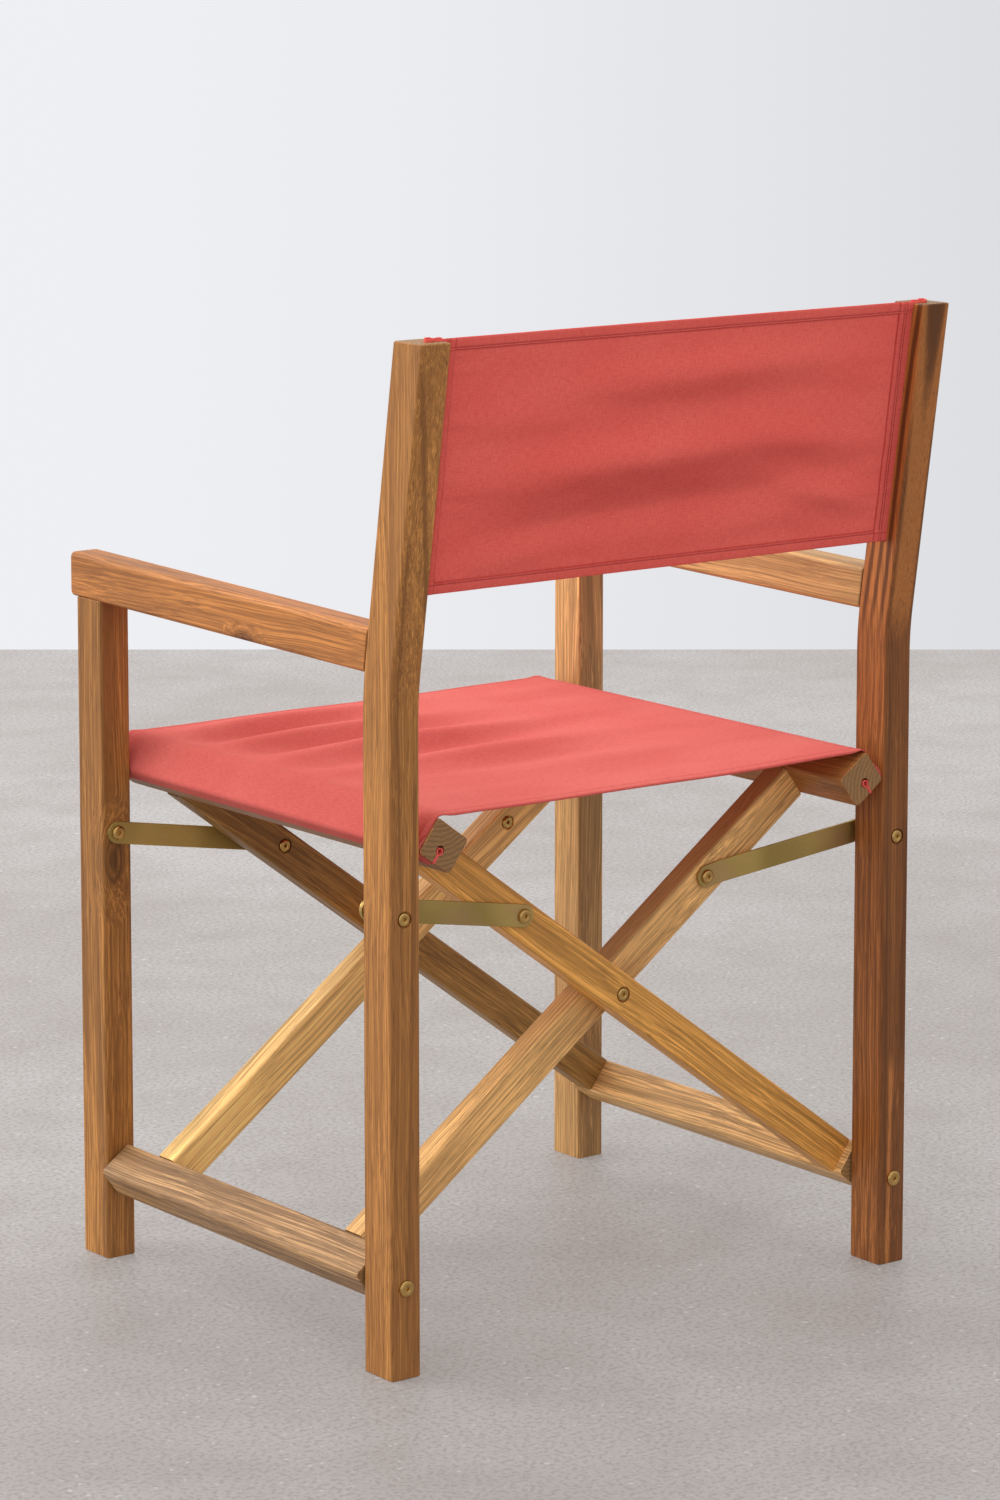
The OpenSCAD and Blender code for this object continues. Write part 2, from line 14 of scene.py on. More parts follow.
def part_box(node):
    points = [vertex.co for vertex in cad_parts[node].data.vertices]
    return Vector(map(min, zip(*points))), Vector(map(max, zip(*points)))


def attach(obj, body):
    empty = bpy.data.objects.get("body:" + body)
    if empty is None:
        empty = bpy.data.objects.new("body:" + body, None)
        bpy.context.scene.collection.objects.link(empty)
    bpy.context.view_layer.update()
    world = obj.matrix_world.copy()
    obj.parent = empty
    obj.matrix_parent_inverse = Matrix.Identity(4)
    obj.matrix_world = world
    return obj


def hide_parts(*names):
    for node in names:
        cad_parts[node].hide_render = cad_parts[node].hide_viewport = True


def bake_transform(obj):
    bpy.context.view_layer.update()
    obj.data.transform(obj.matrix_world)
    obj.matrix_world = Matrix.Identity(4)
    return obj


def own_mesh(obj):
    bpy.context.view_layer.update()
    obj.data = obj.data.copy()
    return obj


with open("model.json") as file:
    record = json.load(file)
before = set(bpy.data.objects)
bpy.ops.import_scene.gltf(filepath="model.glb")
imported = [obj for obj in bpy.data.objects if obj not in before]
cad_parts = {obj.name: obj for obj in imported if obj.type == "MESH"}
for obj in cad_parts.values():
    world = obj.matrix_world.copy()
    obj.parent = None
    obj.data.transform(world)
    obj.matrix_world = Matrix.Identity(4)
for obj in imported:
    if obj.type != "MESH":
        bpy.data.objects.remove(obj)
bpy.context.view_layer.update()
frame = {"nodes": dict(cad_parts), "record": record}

# ---- Sizes read from the frame ----
JOINTS = {j["name"]: Vector(j["pos_m"]) for j in frame["record"]["behaviour"]["joints"]}
LEG_LO, LEG_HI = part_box("left_front_leg")
POST_LO, POST_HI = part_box("left_rear_post")
ARM_LO, ARM_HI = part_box("left_armrest")
POST_IN, POST_OUT = LEG_LO[0], LEG_HI[0]
POST_X, POST_Y = LEG_HI[0] - LEG_LO[0], LEG_HI[1] - LEG_LO[1]
POST_MID = (POST_IN + POST_OUT) / 2
Y_REAR = POST_LO[1] + POST_Y
Y_FRONT = LEG_LO[1]
FRAME_DEPTH = Y_REAR - Y_FRONT
POST_TOP = POST_HI[2]
PIVOT = JOINTS["fold"]
CROSS = JOINTS["cross_pivot"]
LINK_POST = JOINTS["left_rear_link_pivot"]
SLOPE = math.atan2(CROSS.z - PIVOT.z, PIVOT.x)
LINK_LEG = sum((Vector(c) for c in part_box("left_rear_link_bolt")), Vector()) / 2
LEG_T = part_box("rear_outer_leg")[1][1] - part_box("rear_outer_leg")[0][1]

# ---- Sizes the design shares with the CAD model ----
EDGE_R = 0.003
BEND_Z = 0.575
BEND_R = 0.300
LEG_W = 0.034
HEAD_D = 0.266
LOW_RAIL = 0.036, 0.034
LOW_RAIL_R = 0.008
LOW_INSET = 0.0033
SEAT_RAIL = 0.038, 0.034
HOLE_U, HOLE_V, HOLE_R, SLOT_W = 0.0013, -0.0048, 0.0043, 0.003
BACK_LOW_Z = 0.658
BACK_RISE = 0.004
BACK_D = 0.016
BACK_HOLE_IN, BACK_HOLE_R = 0.012, 0.0045
HEAD_R = 0.0059
RAIL_HEAD_R = 0.0071
STAY_HEAD_R = 0.0063
SHANK_R = 0.003
SINK = 0.0022
SINK_R = 0.0072
LINK_W, LINK_T = 0.020, 0.003
CLOTH_T = 0.0009

PIVOT_D = PIVOT.x / math.cos(SLOPE)
FOOT_D = PIVOT_D - LOW_INSET - LOW_RAIL[0] / 2
LEAN = math.atan2(POST_HI[1] - Y_REAR, POST_TOP - BEND_Z)
BEND_LEN = BEND_R * math.tan(LEAN / 2)


def fwd(d):
    """The Y of a point that far forward of the rear posts' rear face."""
    return Y_REAR - d


def leg_point(side, u, v, y=0.0):
    """A point in a cross leg's own frame: u up along the leg from the crossing, v square to it."""
    x = u * math.cos(SLOPE) - v * math.sin(SLOPE)
    z = CROSS.z + u * math.sin(SLOPE) + v * math.cos(SLOPE)
    return Vector((side * x, y, z))


# ---- Mesh helpers ----

def add_object(name, data, matrix=None):
    obj = bpy.data.objects.new(name, data)
    bpy.context.scene.collection.objects.link(obj)
    if matrix is not None:
        obj.matrix_world = matrix
    return obj


def make_object(name, verts, faces, matrix=None):
    mesh = bpy.data.meshes.new(name)
    mesh.from_pydata([tuple(v) for v in verts], [], faces)
    mesh.validate()
    return add_object(name, mesh, matrix)


def tidy_normals(obj):
    work = bmesh.new()
    work.from_mesh(obj.data)
    bmesh.ops.recalc_face_normals(work, faces=work.faces)
    work.to_mesh(obj.data)
    work.free()


def shade(obj, angle=32.0, weighted=True):
    """Smooth shading with sharp edges past an angle."""
    mesh = obj.data
    for p in mesh.polygons:
        p.use_smooth = True
    mesh.set_sharp_from_angle(angle=math.radians(angle))
    if weighted:
        mod = obj.modifiers.new("even", "WEIGHTED_NORMAL")
        mod.keep_sharp = True
        mod.weight = 80
    return obj


def loft(name, rings, matrix=None, closed=False):
    """A closed solid through rings of equal point counts, with flat ends."""
    n = len(rings[0])
    verts = [p for ring in rings for p in ring]
    faces = []
    last = len(rings) if closed else len(rings) - 1
    for i in range(last):
        a, b = i * n, ((i + 1) % len(rings)) * n
        for k in range(n):
            m = (k + 1) % n
            faces.append((a + k, a + m, b + m, b + k))
    if not closed:
        faces.append(tuple(range(n - 1, -1, -1)))
        faces.append(tuple((len(rings) - 1) * n + k for k in range(n)))
    obj = make_object(name, verts, faces, matrix)
    tidy_normals(obj)
    return obj


def section(corners, steps=5):
    """A 2D outline through corners (y, z, radius), counter-clockwise, with true round corners."""
    points = []
    count = len(corners)
    for i, (y, z, r) in enumerate(corners):
        here = Vector((y, z))
        before = (Vector(corners[i - 1][:2]) - here).normalized()
        after = (Vector(corners[(i + 1) % count][:2]) - here).normalized()
        if r <= 0:
            points.append(here)
            continue
        half = before.angle(after) / 2
        centre = here + (before + after).normalized() * (r / math.sin(half))
        start = here + before * (r / math.tan(half)) - centre
        end = here + after * (r / math.tan(half)) - centre
        turn = start.angle_signed(end)
        for k in range(steps + 1):
            a = -turn * k / steps
            c, s = math.cos(a), math.sin(a)
            points.append(centre + Vector((start.x * c - start.y * s, start.x * s + start.y * c)))
    return points


def rectangle(w, h, r):
    return [(-w / 2, -h / 2, r), (w / 2, -h / 2, r), (w / 2, h / 2, r), (-w / 2, h / 2, r)]


def basis(origin, x_axis, y_axis):
    """A matrix whose local X and Y run along two square axes."""
    x, y = Vector(x_axis).normalized(), Vector(y_axis).normalized()
    z = x.cross(y)
    m = Matrix((x, y, z)).transposed().to_4x4()
    m.translation = origin
    return m


def prism(name, outline_of, length, matrix, chamfer=0.0006):
    """A bar along local X. outline_of(inset) gives its section; the ends are eased by a small chamfer."""
    stations = [(0.0, chamfer), (chamfer, 0.0), (length - chamfer, 0.0), (length, chamfer)]
    rings = [[(x, p.x, p.y) for p in outline_of(inset)] for x, inset in stations]
    return loft(name, rings, matrix)


def circle(radius, height=0.0, count=36):
    """A ring of points round local Z."""
    turns = [2 * math.pi * k / count for k in range(count)]
    return [(radius * math.cos(a), radius * math.sin(a), height) for a in turns]


def cylinder(name, start, end, radius):
    start, end = Vector(start), Vector(end)
    turn = (end - start).to_track_quat("Z", "Y").to_matrix()
    return loft(name, [[base + turn @ Vector(p) for p in circle(radius, count=40)] for base in (start, end)])


def block(name, corners):
    """A box through its eight corners, bottom four then top four."""
    obj = make_object(name, corners, [
        (3, 2, 1, 0), (4, 5, 6, 7), (0, 1, 5, 4), (1, 2, 6, 5), (2, 3, 7, 6), (3, 0, 4, 7)
    ])
    tidy_normals(obj)
    return obj


def carve(obj, cutters):
    """Cuts each cutter out of obj and removes the cutters."""
    for cutter in cutters:
        mod = obj.modifiers.new("cut", "BOOLEAN")
        mod.operation = "DIFFERENCE"
        mod.solver = "EXACT"
        mod.object = cutter
    bpy.context.view_layer.update()
    graph = bpy.context.evaluated_depsgraph_get()
    mesh = bpy.data.meshes.new_from_object(obj.evaluated_get(graph))
    obj.modifiers.clear()
    obj.data = mesh
    for cutter in cutters:
        bpy.data.objects.remove(cutter)
    return obj


def smoothstep(a, b, x):
    t = min(max((x - a) / (b - a), 0.0), 1.0)
    return t * t * (3 - 2 * t)


def place(obj, body, material, *nodes, slot=None):
    obj.data.materials.clear()
    obj.data.materials.append(material)
    if body:
        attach(obj, body)
    if nodes:
        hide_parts(*nodes)
    return obj


# ---- Node helpers ----

class Tree:
    """A short way to write a node tree."""

    def __init__(self, tree):
        self.tree = tree
        tree.nodes.clear()

    def link(self, a, b):
        self.tree.links.new(a, b)

    def put(self, socket, value):
        if isinstance(value, bpy.types.NodeSocket):
            self.link(value, socket)
        else:
            socket.default_value = value

    def node(self, kind, **settings):
        n = self.tree.nodes.new(kind)
        for key, value in settings.items():
            setattr(n, key, value)
        return n

    def fill(self, n, **inputs):
        """Links or sets a node's inputs by name, with _ for a space."""
        for key, value in inputs.items():
            self.put(n.inputs[key.replace("_", " ")], value)
        return n

    def ramp(self, value, low, high, **ends):
        """0 below low, 1 above high, smooth in between."""
        n = self.node("ShaderNodeMapRange", interpolation_type="SMOOTHSTEP")
        return self.fill(n, Value=value, From_Min=low, From_Max=high, **ends).outputs[0]


class Graph(Tree):
    """A material with one Principled shader."""

    def __init__(self, name):
        self.material = bpy.data.materials.new(name)
        self.material.use_nodes = True
        super().__init__(self.material.node_tree)
        out = self.node("ShaderNodeOutputMaterial")
        self.shader = self.node("ShaderNodeBsdfPrincipled")
        self.link(self.shader.outputs[0], out.inputs["Surface"])

    def object_coords(self):
        return self.node("ShaderNodeTexCoord").outputs["Object"]

    def mapped(self, vector, scale, at=(0, 0, 0)):
        return self.fill(self.node("ShaderNodeMapping"), Vector=vector, Scale=scale, Location=at).outputs[0]

    def noise(self, vector, scale, detail=2.0, rough=0.5, at=(0, 0, 0), distort=0.0, output="Fac"):
        n = self.fill(self.node("ShaderNodeTexNoise"), Vector=self.mapped(vector, scale, at), Scale=1.0,
                      Detail=detail, Roughness=rough, Distortion=distort)
        return n.outputs[output]

    def math(self, operation, a, b=0.0, c=0.0):
        n = self.node("ShaderNodeMath", operation=operation)
        for socket, value in zip(n.inputs, (a, b, c)):
            self.put(socket, value)
        return n.outputs[0]

    def times(self, a, b):
        return self.math("MULTIPLY", a, b)

    def plus(self, a, b):
        return self.math("ADD", a, b)

    def line(self, x, slope, start):
        return self.math("MULTIPLY_ADD", x, slope, start)

    def sine(self, x, pace):
        return self.math("SINE", self.times(x, pace))

    def vmath(self, operation, a, b=(0, 0, 0)):
        n = self.node("ShaderNodeVectorMath", operation=operation)
        self.put(n.inputs[0], a)
        self.put(n.inputs[1], b)
        return n.outputs["Value" if operation == "LENGTH" else "Vector"]

    def mix(self, factor, a, b, blend="MIX"):
        n = self.node("ShaderNodeMix", data_type="RGBA", blend_type=blend)
        self.put(n.inputs[0], factor)
        for socket, value in ((n.inputs[6], a), (n.inputs[7], b)):
            self.put(socket, (*value, 1.0) if isinstance(value, tuple) else value)
        return n.outputs[2]

    def over(self, colour, layer, mask, amount):
        """colour with layer laid over it where mask is 1, by that amount at most."""
        return self.mix(self.times(mask, amount), colour, layer)

    def bump(self, height, strength, distance, normal=None):
        n = self.fill(self.node("ShaderNodeBump"), Height=height, Strength=strength, Distance=distance)
        if normal is not None:
            self.link(normal, n.inputs["Normal"])
        return n.outputs[0]

    def separate(self, vector):
        n = self.node("ShaderNodeSeparateXYZ")
        self.link(vector, n.inputs[0])
        return n.outputs

    def grey(self, value):
        n = self.node("ShaderNodeCombineXYZ")
        for socket in n.inputs:
            self.link(value, socket)
        return n.outputs[0]

    def finish(self, colour, rough, **inputs):
        self.fill(self.shader, Base_Color=colour, Roughness=rough, **inputs)
        return self.material


# ---- Materials ----

def linear(r, g, b):
    """A colour given in screen values from 0 to 255."""
    def one(c):
        c /= 255.0
        return c / 12.92 if c <= 0.04045 else ((c + 0.055) / 1.055) ** 2.4
    return one(r), one(g), one(b)


def scaled(colour, factor):
    return tuple(c * factor for c in colour)


def weighted(a, share_a, b, share_b):
    return tuple(share_a * p + share_b * q for p, q in zip(a, b))


def wood(name, mid, seed, streak=0.5, lines=0.5, pores=0.5, knots=(), veins=(), arches=None, rear_shade=None,
         fade=None):
    """Oiled acacia with its grain along local X.

    mid is its middle colour. knots are (x, y, z, radius).
    veins are long streaks (x, z, slope, half width, from x, to x), pale where the half width is negative.
    arches is (from x, spacing, darkness): stacked arches such as a flat-sawn board shows on its +Y face.
    The rear-face pair, (y, amount), is painted shade: beyond local y, on the rear face, which the light reaches less,
    the wood is darker.
    fade is (from x, to x, amount): the board darkens slowly along its length.
    """
    g = Graph(name)
    mid = scaled(linear(*mid), 1.17)
    light = mid[0] * 1.40, mid[1] * 1.46, mid[2] * 1.46
    dark = mid[0] * 0.31, mid[1] * 0.29, mid[2] * 0.29
    coords = g.object_coords()
    in_log = g.vmath("ADD", coords, (seed * 0.731, seed * 0.417 + 0.05, seed * 0.293 + 0.11))
    x, y, z = g.separate(coords)[:3]

    # Slow wander of the grain, and its swing round each knot
    drift = g.vmath("SUBTRACT", g.noise(in_log, (2.6, 10, 10), output="Color"), (0.5, 0.5, 0.5))
    wander = g.vmath("MULTIPLY", drift, (0, 0.026, 0.026))
    grain = g.vmath("ADD", in_log, wander)
    knot = None
    for kx, ky, kz, kr in knots:
        away = g.mapped(g.vmath("SUBTRACT", coords, (kx, ky, kz)), (0.42 / kr, 1 / kr, 1 / kr))
        near = g.ramp(g.vmath("LENGTH", away), 2.8, 0.0)
        knot = near if knot is None else g.math("MAXIMUM", knot, near)
    if knot is not None:
        push = g.node("ShaderNodeCombineXYZ")
        g.link(g.times(knot, 0.016), push.inputs[1])
        g.link(g.times(knot, 0.012), push.inputs[2])
        grain = g.vmath("ADD", grain, push.outputs[0])

    field = g.noise(grain, (1.2, 62, 62))
    contour = g.ramp(g.sine(field, 62.0), 0.45, 1.0)
    bands = g.noise(grain, (1.4, 135, 135), 3.0, 0.6, at=(0.3, 0.1, 0.2))
    streaks = g.ramp(bands, 0.64 - 0.24 * streak, 0.76 - 0.20 * streak)
    fine = g.noise(grain, (2.0, 400, 400), 4.0, 0.68)
    fibre = g.noise(grain, (16, 1300, 1300), 2.0, 0.6)
    crisp = g.noise(grain, (2.4, 820, 820), 4.0, 0.65, at=(0.2, 0.5, 0.1))
    open_pores = g.ramp(g.noise(grain, (38, 1500, 1500), 1.0, 0.5), 0.58, 0.70)
    tone = g.noise(in_log, (2.1, 14, 14), at=(0.7, 0.2, 0.4))

    colour = g.mix(g.ramp(field, 0.34, 0.66), light, mid)
    if rear_shade is not None:
        # Painted shade: the rear face, which the light reaches less, is darker; grain streaks still show through it.
        inner = g.times(g.ramp(y, rear_shade[0] - 0.002, rear_shade[0]), rear_shade[1])
        colour = g.mix(inner, colour, scaled(mid, 0.25))
        colour = g.over(colour, mid, g.times(inner, g.ramp(bands, 0.47, 0.36)), 0.5)
    colour = g.over(colour, dark, g.ramp(tone, 0.42, 0.72), 0.50)
    colour = g.over(colour, dark, streaks, 0.30 + 0.60 * streak)
    colour = g.over(colour, dark, contour, 0.30 * lines)
    colour = g.over(colour, weighted(mid, 0.20, dark, 0.80), g.ramp(crisp, 0.47, 0.60), 0.24 + 0.40 * lines)
    colour = g.over(colour, scaled(light, 1.2), g.ramp(crisp, 0.47, 0.36), 0.30)
    colour = g.over(colour, weighted(mid, 0.30, dark, 0.60), g.ramp(fine, 0.46, 0.60), 0.22 + 0.60 * lines)
    if fade is not None:
        colour = g.over(colour, dark, g.ramp(x, fade[0], fade[1]), fade[2])
    colour = g.mix(1.0, colour, g.grey(g.line(fibre, 0.50, 0.76)), "MULTIPLY")
    for vx, vz, slope, half, start, stop in veins:
        line = g.math("SUBTRACT", z, g.line(x, slope, vz - slope * vx))
        line = g.plus(line, g.line(fine, 0.010, -0.005))
        near = g.ramp(g.math("ABSOLUTE", line), abs(half), abs(half) * 0.35)
        span = g.times(g.ramp(x, start, start + 0.03), g.ramp(x, stop, stop - 0.03))
        colour = g.over(colour, dark if half > 0 else light, g.times(near, span), 0.74)
    if arches is not None:
        start, spacing, amount = arches
        bow = g.times(g.times(z, z), -150.0)
        rise = g.plus(g.plus(x, bow), g.times(y, -6.0))
        rise = g.plus(rise, g.times(tone, 0.055))
        wave = g.sine(rise, 2 * math.pi / spacing)
        above = g.ramp(x, start, start + 0.05)
        colour = g.over(colour, scaled(light, 1.1), g.times(g.ramp(wave, 0.3, -0.8), above), 0.6 * amount)
        colour = g.over(colour, dark, g.times(g.ramp(wave, 0.0, 0.8), above), amount)
    colour = g.over(colour, scaled(dark, 0.60), open_pores, 0.65 * pores)
    if knot is not None:
        ringed = g.line(g.sine(knot, 34.0), 0.25, 0.75)
        colour = g.over(colour, scaled(dark, 0.5), g.times(g.ramp(knot, 0.45, 0.90), ringed), 0.80)

    # Sawn ends are duller, with the layers showing as arcs
    facing = g.separate(g.node("ShaderNodeTexCoord").outputs["Normal"])[0]
    end = g.ramp(g.math("ABSOLUTE", facing), 0.80, 0.95)
    from_pith = g.mapped(g.vmath("SUBTRACT", coords, (0, 0.030, -0.034)), (0, 1, 1))
    layer = g.times(g.vmath("LENGTH", from_pith), 1500.0)
    layer = g.plus(layer, g.times(bands, 7.0))
    arcs = g.line(g.math("SINE", layer), 0.5, 0.5)
    speck = g.noise(in_log, (200, 700, 700), 3.0, 0.7)
    dull = weighted(mid, 0.25, linear(152, 118, 78), 0.75)
    end_colour = g.over(dull, scaled(dull, 0.42), arcs, 0.55)
    end_colour = g.over(end_colour, scaled(dull, 0.45), g.ramp(speck, 0.45, 0.80), 0.6)
    colour = g.mix(end, colour, end_colour)

    normal = g.bump(g.math("SUBTRACT", g.times(fibre, 0.6), open_pores), 0.30, 0.0006)
    return g.finish(colour, g.line(fine, 0.22, 0.34), Normal=normal, Specular_IOR_Level=0.30)


def canvas(name, light, mid, dark):
    """Coral-red canvas: plain weave, slubs in both directions, slow fading, and painted shade from a weight on the
    mesh: darker along stitch grooves, fold lines and fold slopes that face away from the light.
    """
    g = Graph(name)
    uv = g.node("ShaderNodeUVMap", uv_map="cloth").outputs[0]
    pitch = 2 * math.pi / 0.0011
    u, v = g.separate(uv)[:2]
    weave = g.line(g.times(g.sine(u, pitch), g.sine(v, pitch)), 0.5, 0.5)
    slub_u = g.noise(uv, (130, 1100, 1), 2.0, 0.6)
    slub_v = g.noise(uv, (1100, 130, 1), 2.0, 0.6)
    heather = g.noise(uv, (620, 620, 1), 2.0, 0.6)
    fade = g.noise(uv, (9, 14, 1))
    yarn = g.plus(g.times(slub_u, 0.5), g.times(slub_v, 0.5))
    painted_shade = g.node("ShaderNodeAttribute", attribute_name="painted_shade").outputs["Fac"]
    base = g.mix(g.ramp(fade, 0.3, 0.7), mid, light)
    colour = g.over(base, dark, g.ramp(yarn, 0.42, 0.62), 0.42)
    pale = tuple(c + 0.30 * (1 - c) for c in light)
    colour = g.over(colour, pale, g.ramp(heather, 0.50, 0.78), 0.22)
    colour = g.over(colour, scaled(dark, 0.8), weave, 0.22)
    # Painted shade: darkens the canvas where the mesh's shade weight is high, in folds, stitch grooves and at edges,
    # and on fold slopes that face away from the light.
    colour = g.over(colour, linear(140, 14, 16), painted_shade, 0.75)
    normal = g.bump(weave, 0.30, 0.0003)
    normal = g.bump(yarn, 0.35, 0.0004, normal)
    return g.finish(colour, 0.9, Normal=normal, Specular_IOR_Level=0.15)


def thread(name):
    g = Graph(name)
    twist = g.noise(g.object_coords(), (2400, 2400, 2400), 2.0, 0.6)
    colour = g.mix(twist, linear(158, 36, 36), linear(190, 60, 56))
    return g.finish(colour, 0.7, Normal=g.bump(twist, 0.3, 0.0003), Sheen_Weight=0.2)


def zinc(name, gold, olive, rough, metal):
    """Yellow-passivated zinc: a dull metal whose tint drifts from gold to olive and rose."""
    g = Graph(name)
    coords = g.object_coords()
    drift = g.noise(coords, (12, 12, 12))
    rose = g.noise(coords, (17, 17, 17), at=(3, 1, 2))
    scratch = g.noise(coords, (90, 900, 900), 2.0, 0.6)
    colour = g.mix(g.ramp(drift, 0.35, 0.66), gold, olive)
    colour = g.over(colour, linear(186, 146, 118), g.ramp(rose, 0.5, 0.75), 0.45)
    colour = g.over(colour, linear(120, 100, 60), g.ramp(scratch, 0.55, 0.8), 0.20)
    shine = g.line(scratch, 0.18, rough)
    return g.finish(colour, shine, Normal=g.bump(scratch, 0.10, 0.0002), Metallic=metal)


def plain_wood(name, tone):
    g = Graph(name)
    fibre = g.noise(g.object_coords(), (300, 300, 300), 3.0, 0.6)
    colour = g.over(tone, scaled(tone, 0.6), fibre, 0.5)
    return g.finish(colour, 0.6, Normal=g.bump(fibre, 0.15, 0.0004))


def floor_material():
    """Polished concrete: slow clouds, and fine light and dark aggregate."""
    g = Graph("studio_floor")
    coords = g.object_coords()
    cloud = g.noise(coords, (1.5, 1.5, 1), 6.0, 0.62, distort=0.4)
    patch = g.noise(coords, (9, 9, 1), 3.0, 0.6)
    grit = g.noise(coords, (210, 210, 1), 2.0, 0.6)
    flecks = g.ramp(g.noise(coords, (120, 120, 1), 1.0, 0.5, at=(3, 5, 0)), 0.68, 0.76)
    colour = g.mix(g.ramp(cloud, 0.30, 0.70), linear(184, 178, 175), linear(199, 195, 193))
    colour = g.over(colour, linear(168, 160, 156), g.ramp(patch, 0.40, 0.70), 0.32)
    colour = g.over(colour, linear(144, 136, 132), g.ramp(grit, 0.46, 0.64), 0.52)
    colour = g.over(colour, linear(226, 223, 221), flecks, 0.60)
    # Painted shade: the floor darkens towards the camera side and the right, away from the key light.
    near = g.plus(g.times(g.separate(coords)[0], -0.12), g.separate(coords)[1])
    colour = g.over(colour, linear(112, 104, 100), g.ramp(near, -2.2, 1.6), 0.30)
    # Painted light: part of the floor's colour glows, which lifts the shadows the chair casts on it.
    glow = 0.52
    base = g.mix(1.0, colour, (1 - glow, 1 - glow, 1 - glow), "MULTIPLY")
    return g.finish(base, 0.52, Emission_Color=colour, Emission_Strength=glow)


# Painted light: the back canvas, the same cloth as the seat, gets brighter and more saturated colours, standing for
# the light that shines through it.
MAT_BACK = canvas("back_canvas", linear(254, 117, 107), linear(250, 109, 100), linear(224, 81, 73))
MAT_SEAT = canvas("seat_canvas", linear(235, 121, 112), linear(229, 111, 103), linear(206, 82, 75))
MAT_THREAD = thread("red_thread")
MAT_LINK = zinc("link_zinc", linear(194, 166, 98), linear(166, 142, 80), 0.34, 0.75)
MAT_BOLT = zinc("bolt_zinc", linear(210, 172, 104), linear(170, 134, 78), 0.14, 1.0)
MAT_DOWEL = plain_wood("beech", linear(205, 170, 120))


# ---- Camera, light and floor ----
CAMERA_AT = 2.5290, 3.3155, 1.2772
CAMERA_YAW = 217.288
CAMERA_PITCH = -7.938
FOCAL_SHARE = 4772.0 / 1500.0
SENSOR = 36.0
FRAME_SHIFT = -0.17
SIDE_LIGHT = 0.795, -0.606, 0.0


def aim(obj, at, look):
    obj.location = at
    obj.rotation_mode = "QUATERNION"
    obj.rotation_quaternion = look.to_track_quat("-Z", "Y")


def make_camera():
    data = bpy.data.cameras.new("camera")
    data.sensor_width = SENSOR
    data.lens = FOCAL_SHARE * SENSOR
    data.shift_y = FRAME_SHIFT
    data.clip_end = 100.0
    cam = add_object("camera", data)
    yaw, pitch = math.radians(CAMERA_YAW), math.radians(CAMERA_PITCH)
    look = Vector((math.sin(yaw) * math.cos(pitch), math.cos(yaw) * math.cos(pitch), math.sin(pitch)))
    aim(cam, CAMERA_AT, look)
    bpy.context.scene.camera = cam
    bpy.context.scene.view_settings.view_transform = "Standard"
    return look


def add_light(name, at, size, power):
    """A square light aimed at the middle of the chair."""
    data = bpy.data.lights.new(name, "AREA")
    data.shape = "RECTANGLE"
    data.size = data.size_y = size
    data.energy = power
    aim(add_object(name, data), at, Vector((0.0, 0.0, 0.4)) - Vector(at))


def make_stage(look):
    """Floor whose far edge is the horizon, backdrop and lights."""
    flat_look = Vector((look.x, look.y, 0)).normalized()
    side = Vector((flat_look.y, -flat_look.x, 0)) * 9.0
    far, near = flat_look * 3.23, flat_look * -9.0
    floor = make_object("studio_floor", [far - side, far + side, near + side, near - side], [(0, 1, 2, 3)])
    tidy_normals(floor)
    floor.data.materials.append(floor_material())
    make_world()
    add_light("key", (2.6, -2.5, 3.0), 3.2, 72.0)
    add_light("top", (0.0, 0.2, 3.6), 3.6, 24.0)


def make_world():
    """Pale backdrop for the camera; for light, a studio brighter above and to the front left than behind."""
    world = bpy.data.worlds.new("studio")
    bpy.context.scene.world = world
    world.use_nodes = True
    t = Tree(world.node_tree)
    coords = t.node("ShaderNodeTexCoord")

    def background(colour, toward, low, high, at_low, at_high):
        dot = t.node("ShaderNodeVectorMath", operation="DOT_PRODUCT")
        t.link(coords.outputs["Generated"], dot.inputs[0])
        dot.inputs[1].default_value = Vector(toward).normalized()
        strength = t.ramp(dot.outputs["Value"], low, high, To_Min=at_low, To_Max=at_high)
        return t.fill(t.node("ShaderNodeBackground"), Color=(*colour, 1.0), Strength=strength).outputs[0]

    seen = background((0.845, 0.850, 0.880), SIDE_LIGHT, -0.22, 0.10, 0.80, 1.02)
    lit = background((1.0, 0.99, 0.98), (0.75, -0.30, 0.55), -0.6, 0.9, 0.70, 1.00)
    mix = t.node("ShaderNodeMixShader")
    t.link(t.node("ShaderNodeLightPath").outputs["Is Camera Ray"], mix.inputs[0])
    t.link(lit, mix.inputs[1])
    t.link(seen, mix.inputs[2])
    t.link(mix.outputs[0], t.node("ShaderNodeOutputWorld").inputs["Surface"])


# ---- Timber ----

def side_name(side):
    return "left" if side > 0 else "right"


def bend_point(across, turned):
    """Height and depth, in the post's own frame, of a fibre that far across it after that much of the bend."""
    mid_r = BEND_R + POST_Y / 2
    h = BEND_Z - BEND_LEN + mid_r * math.sin(turned) - across * math.sin(turned)
    return h, mid_r * (1 - math.cos(turned)) + across * math.cos(turned)


def lean_point(x, off, z):
    """A point at height z on the post's leaning part, off its rear face by that much towards the rear."""
    return Vector((x, Y_REAR + (z - BEND_Z) * math.tan(LEAN) + off / math.cos(LEAN), z))


def sink_at(x, z, d, toward):
    """Cutter for a shallow round recess in a face at forward distance d; toward is 1 for a rear-facing face."""
    face = fwd(d)
    return cylinder("cut", (x, face - toward * SINK, z), (x, face + toward * 0.01, z), SINK_R)


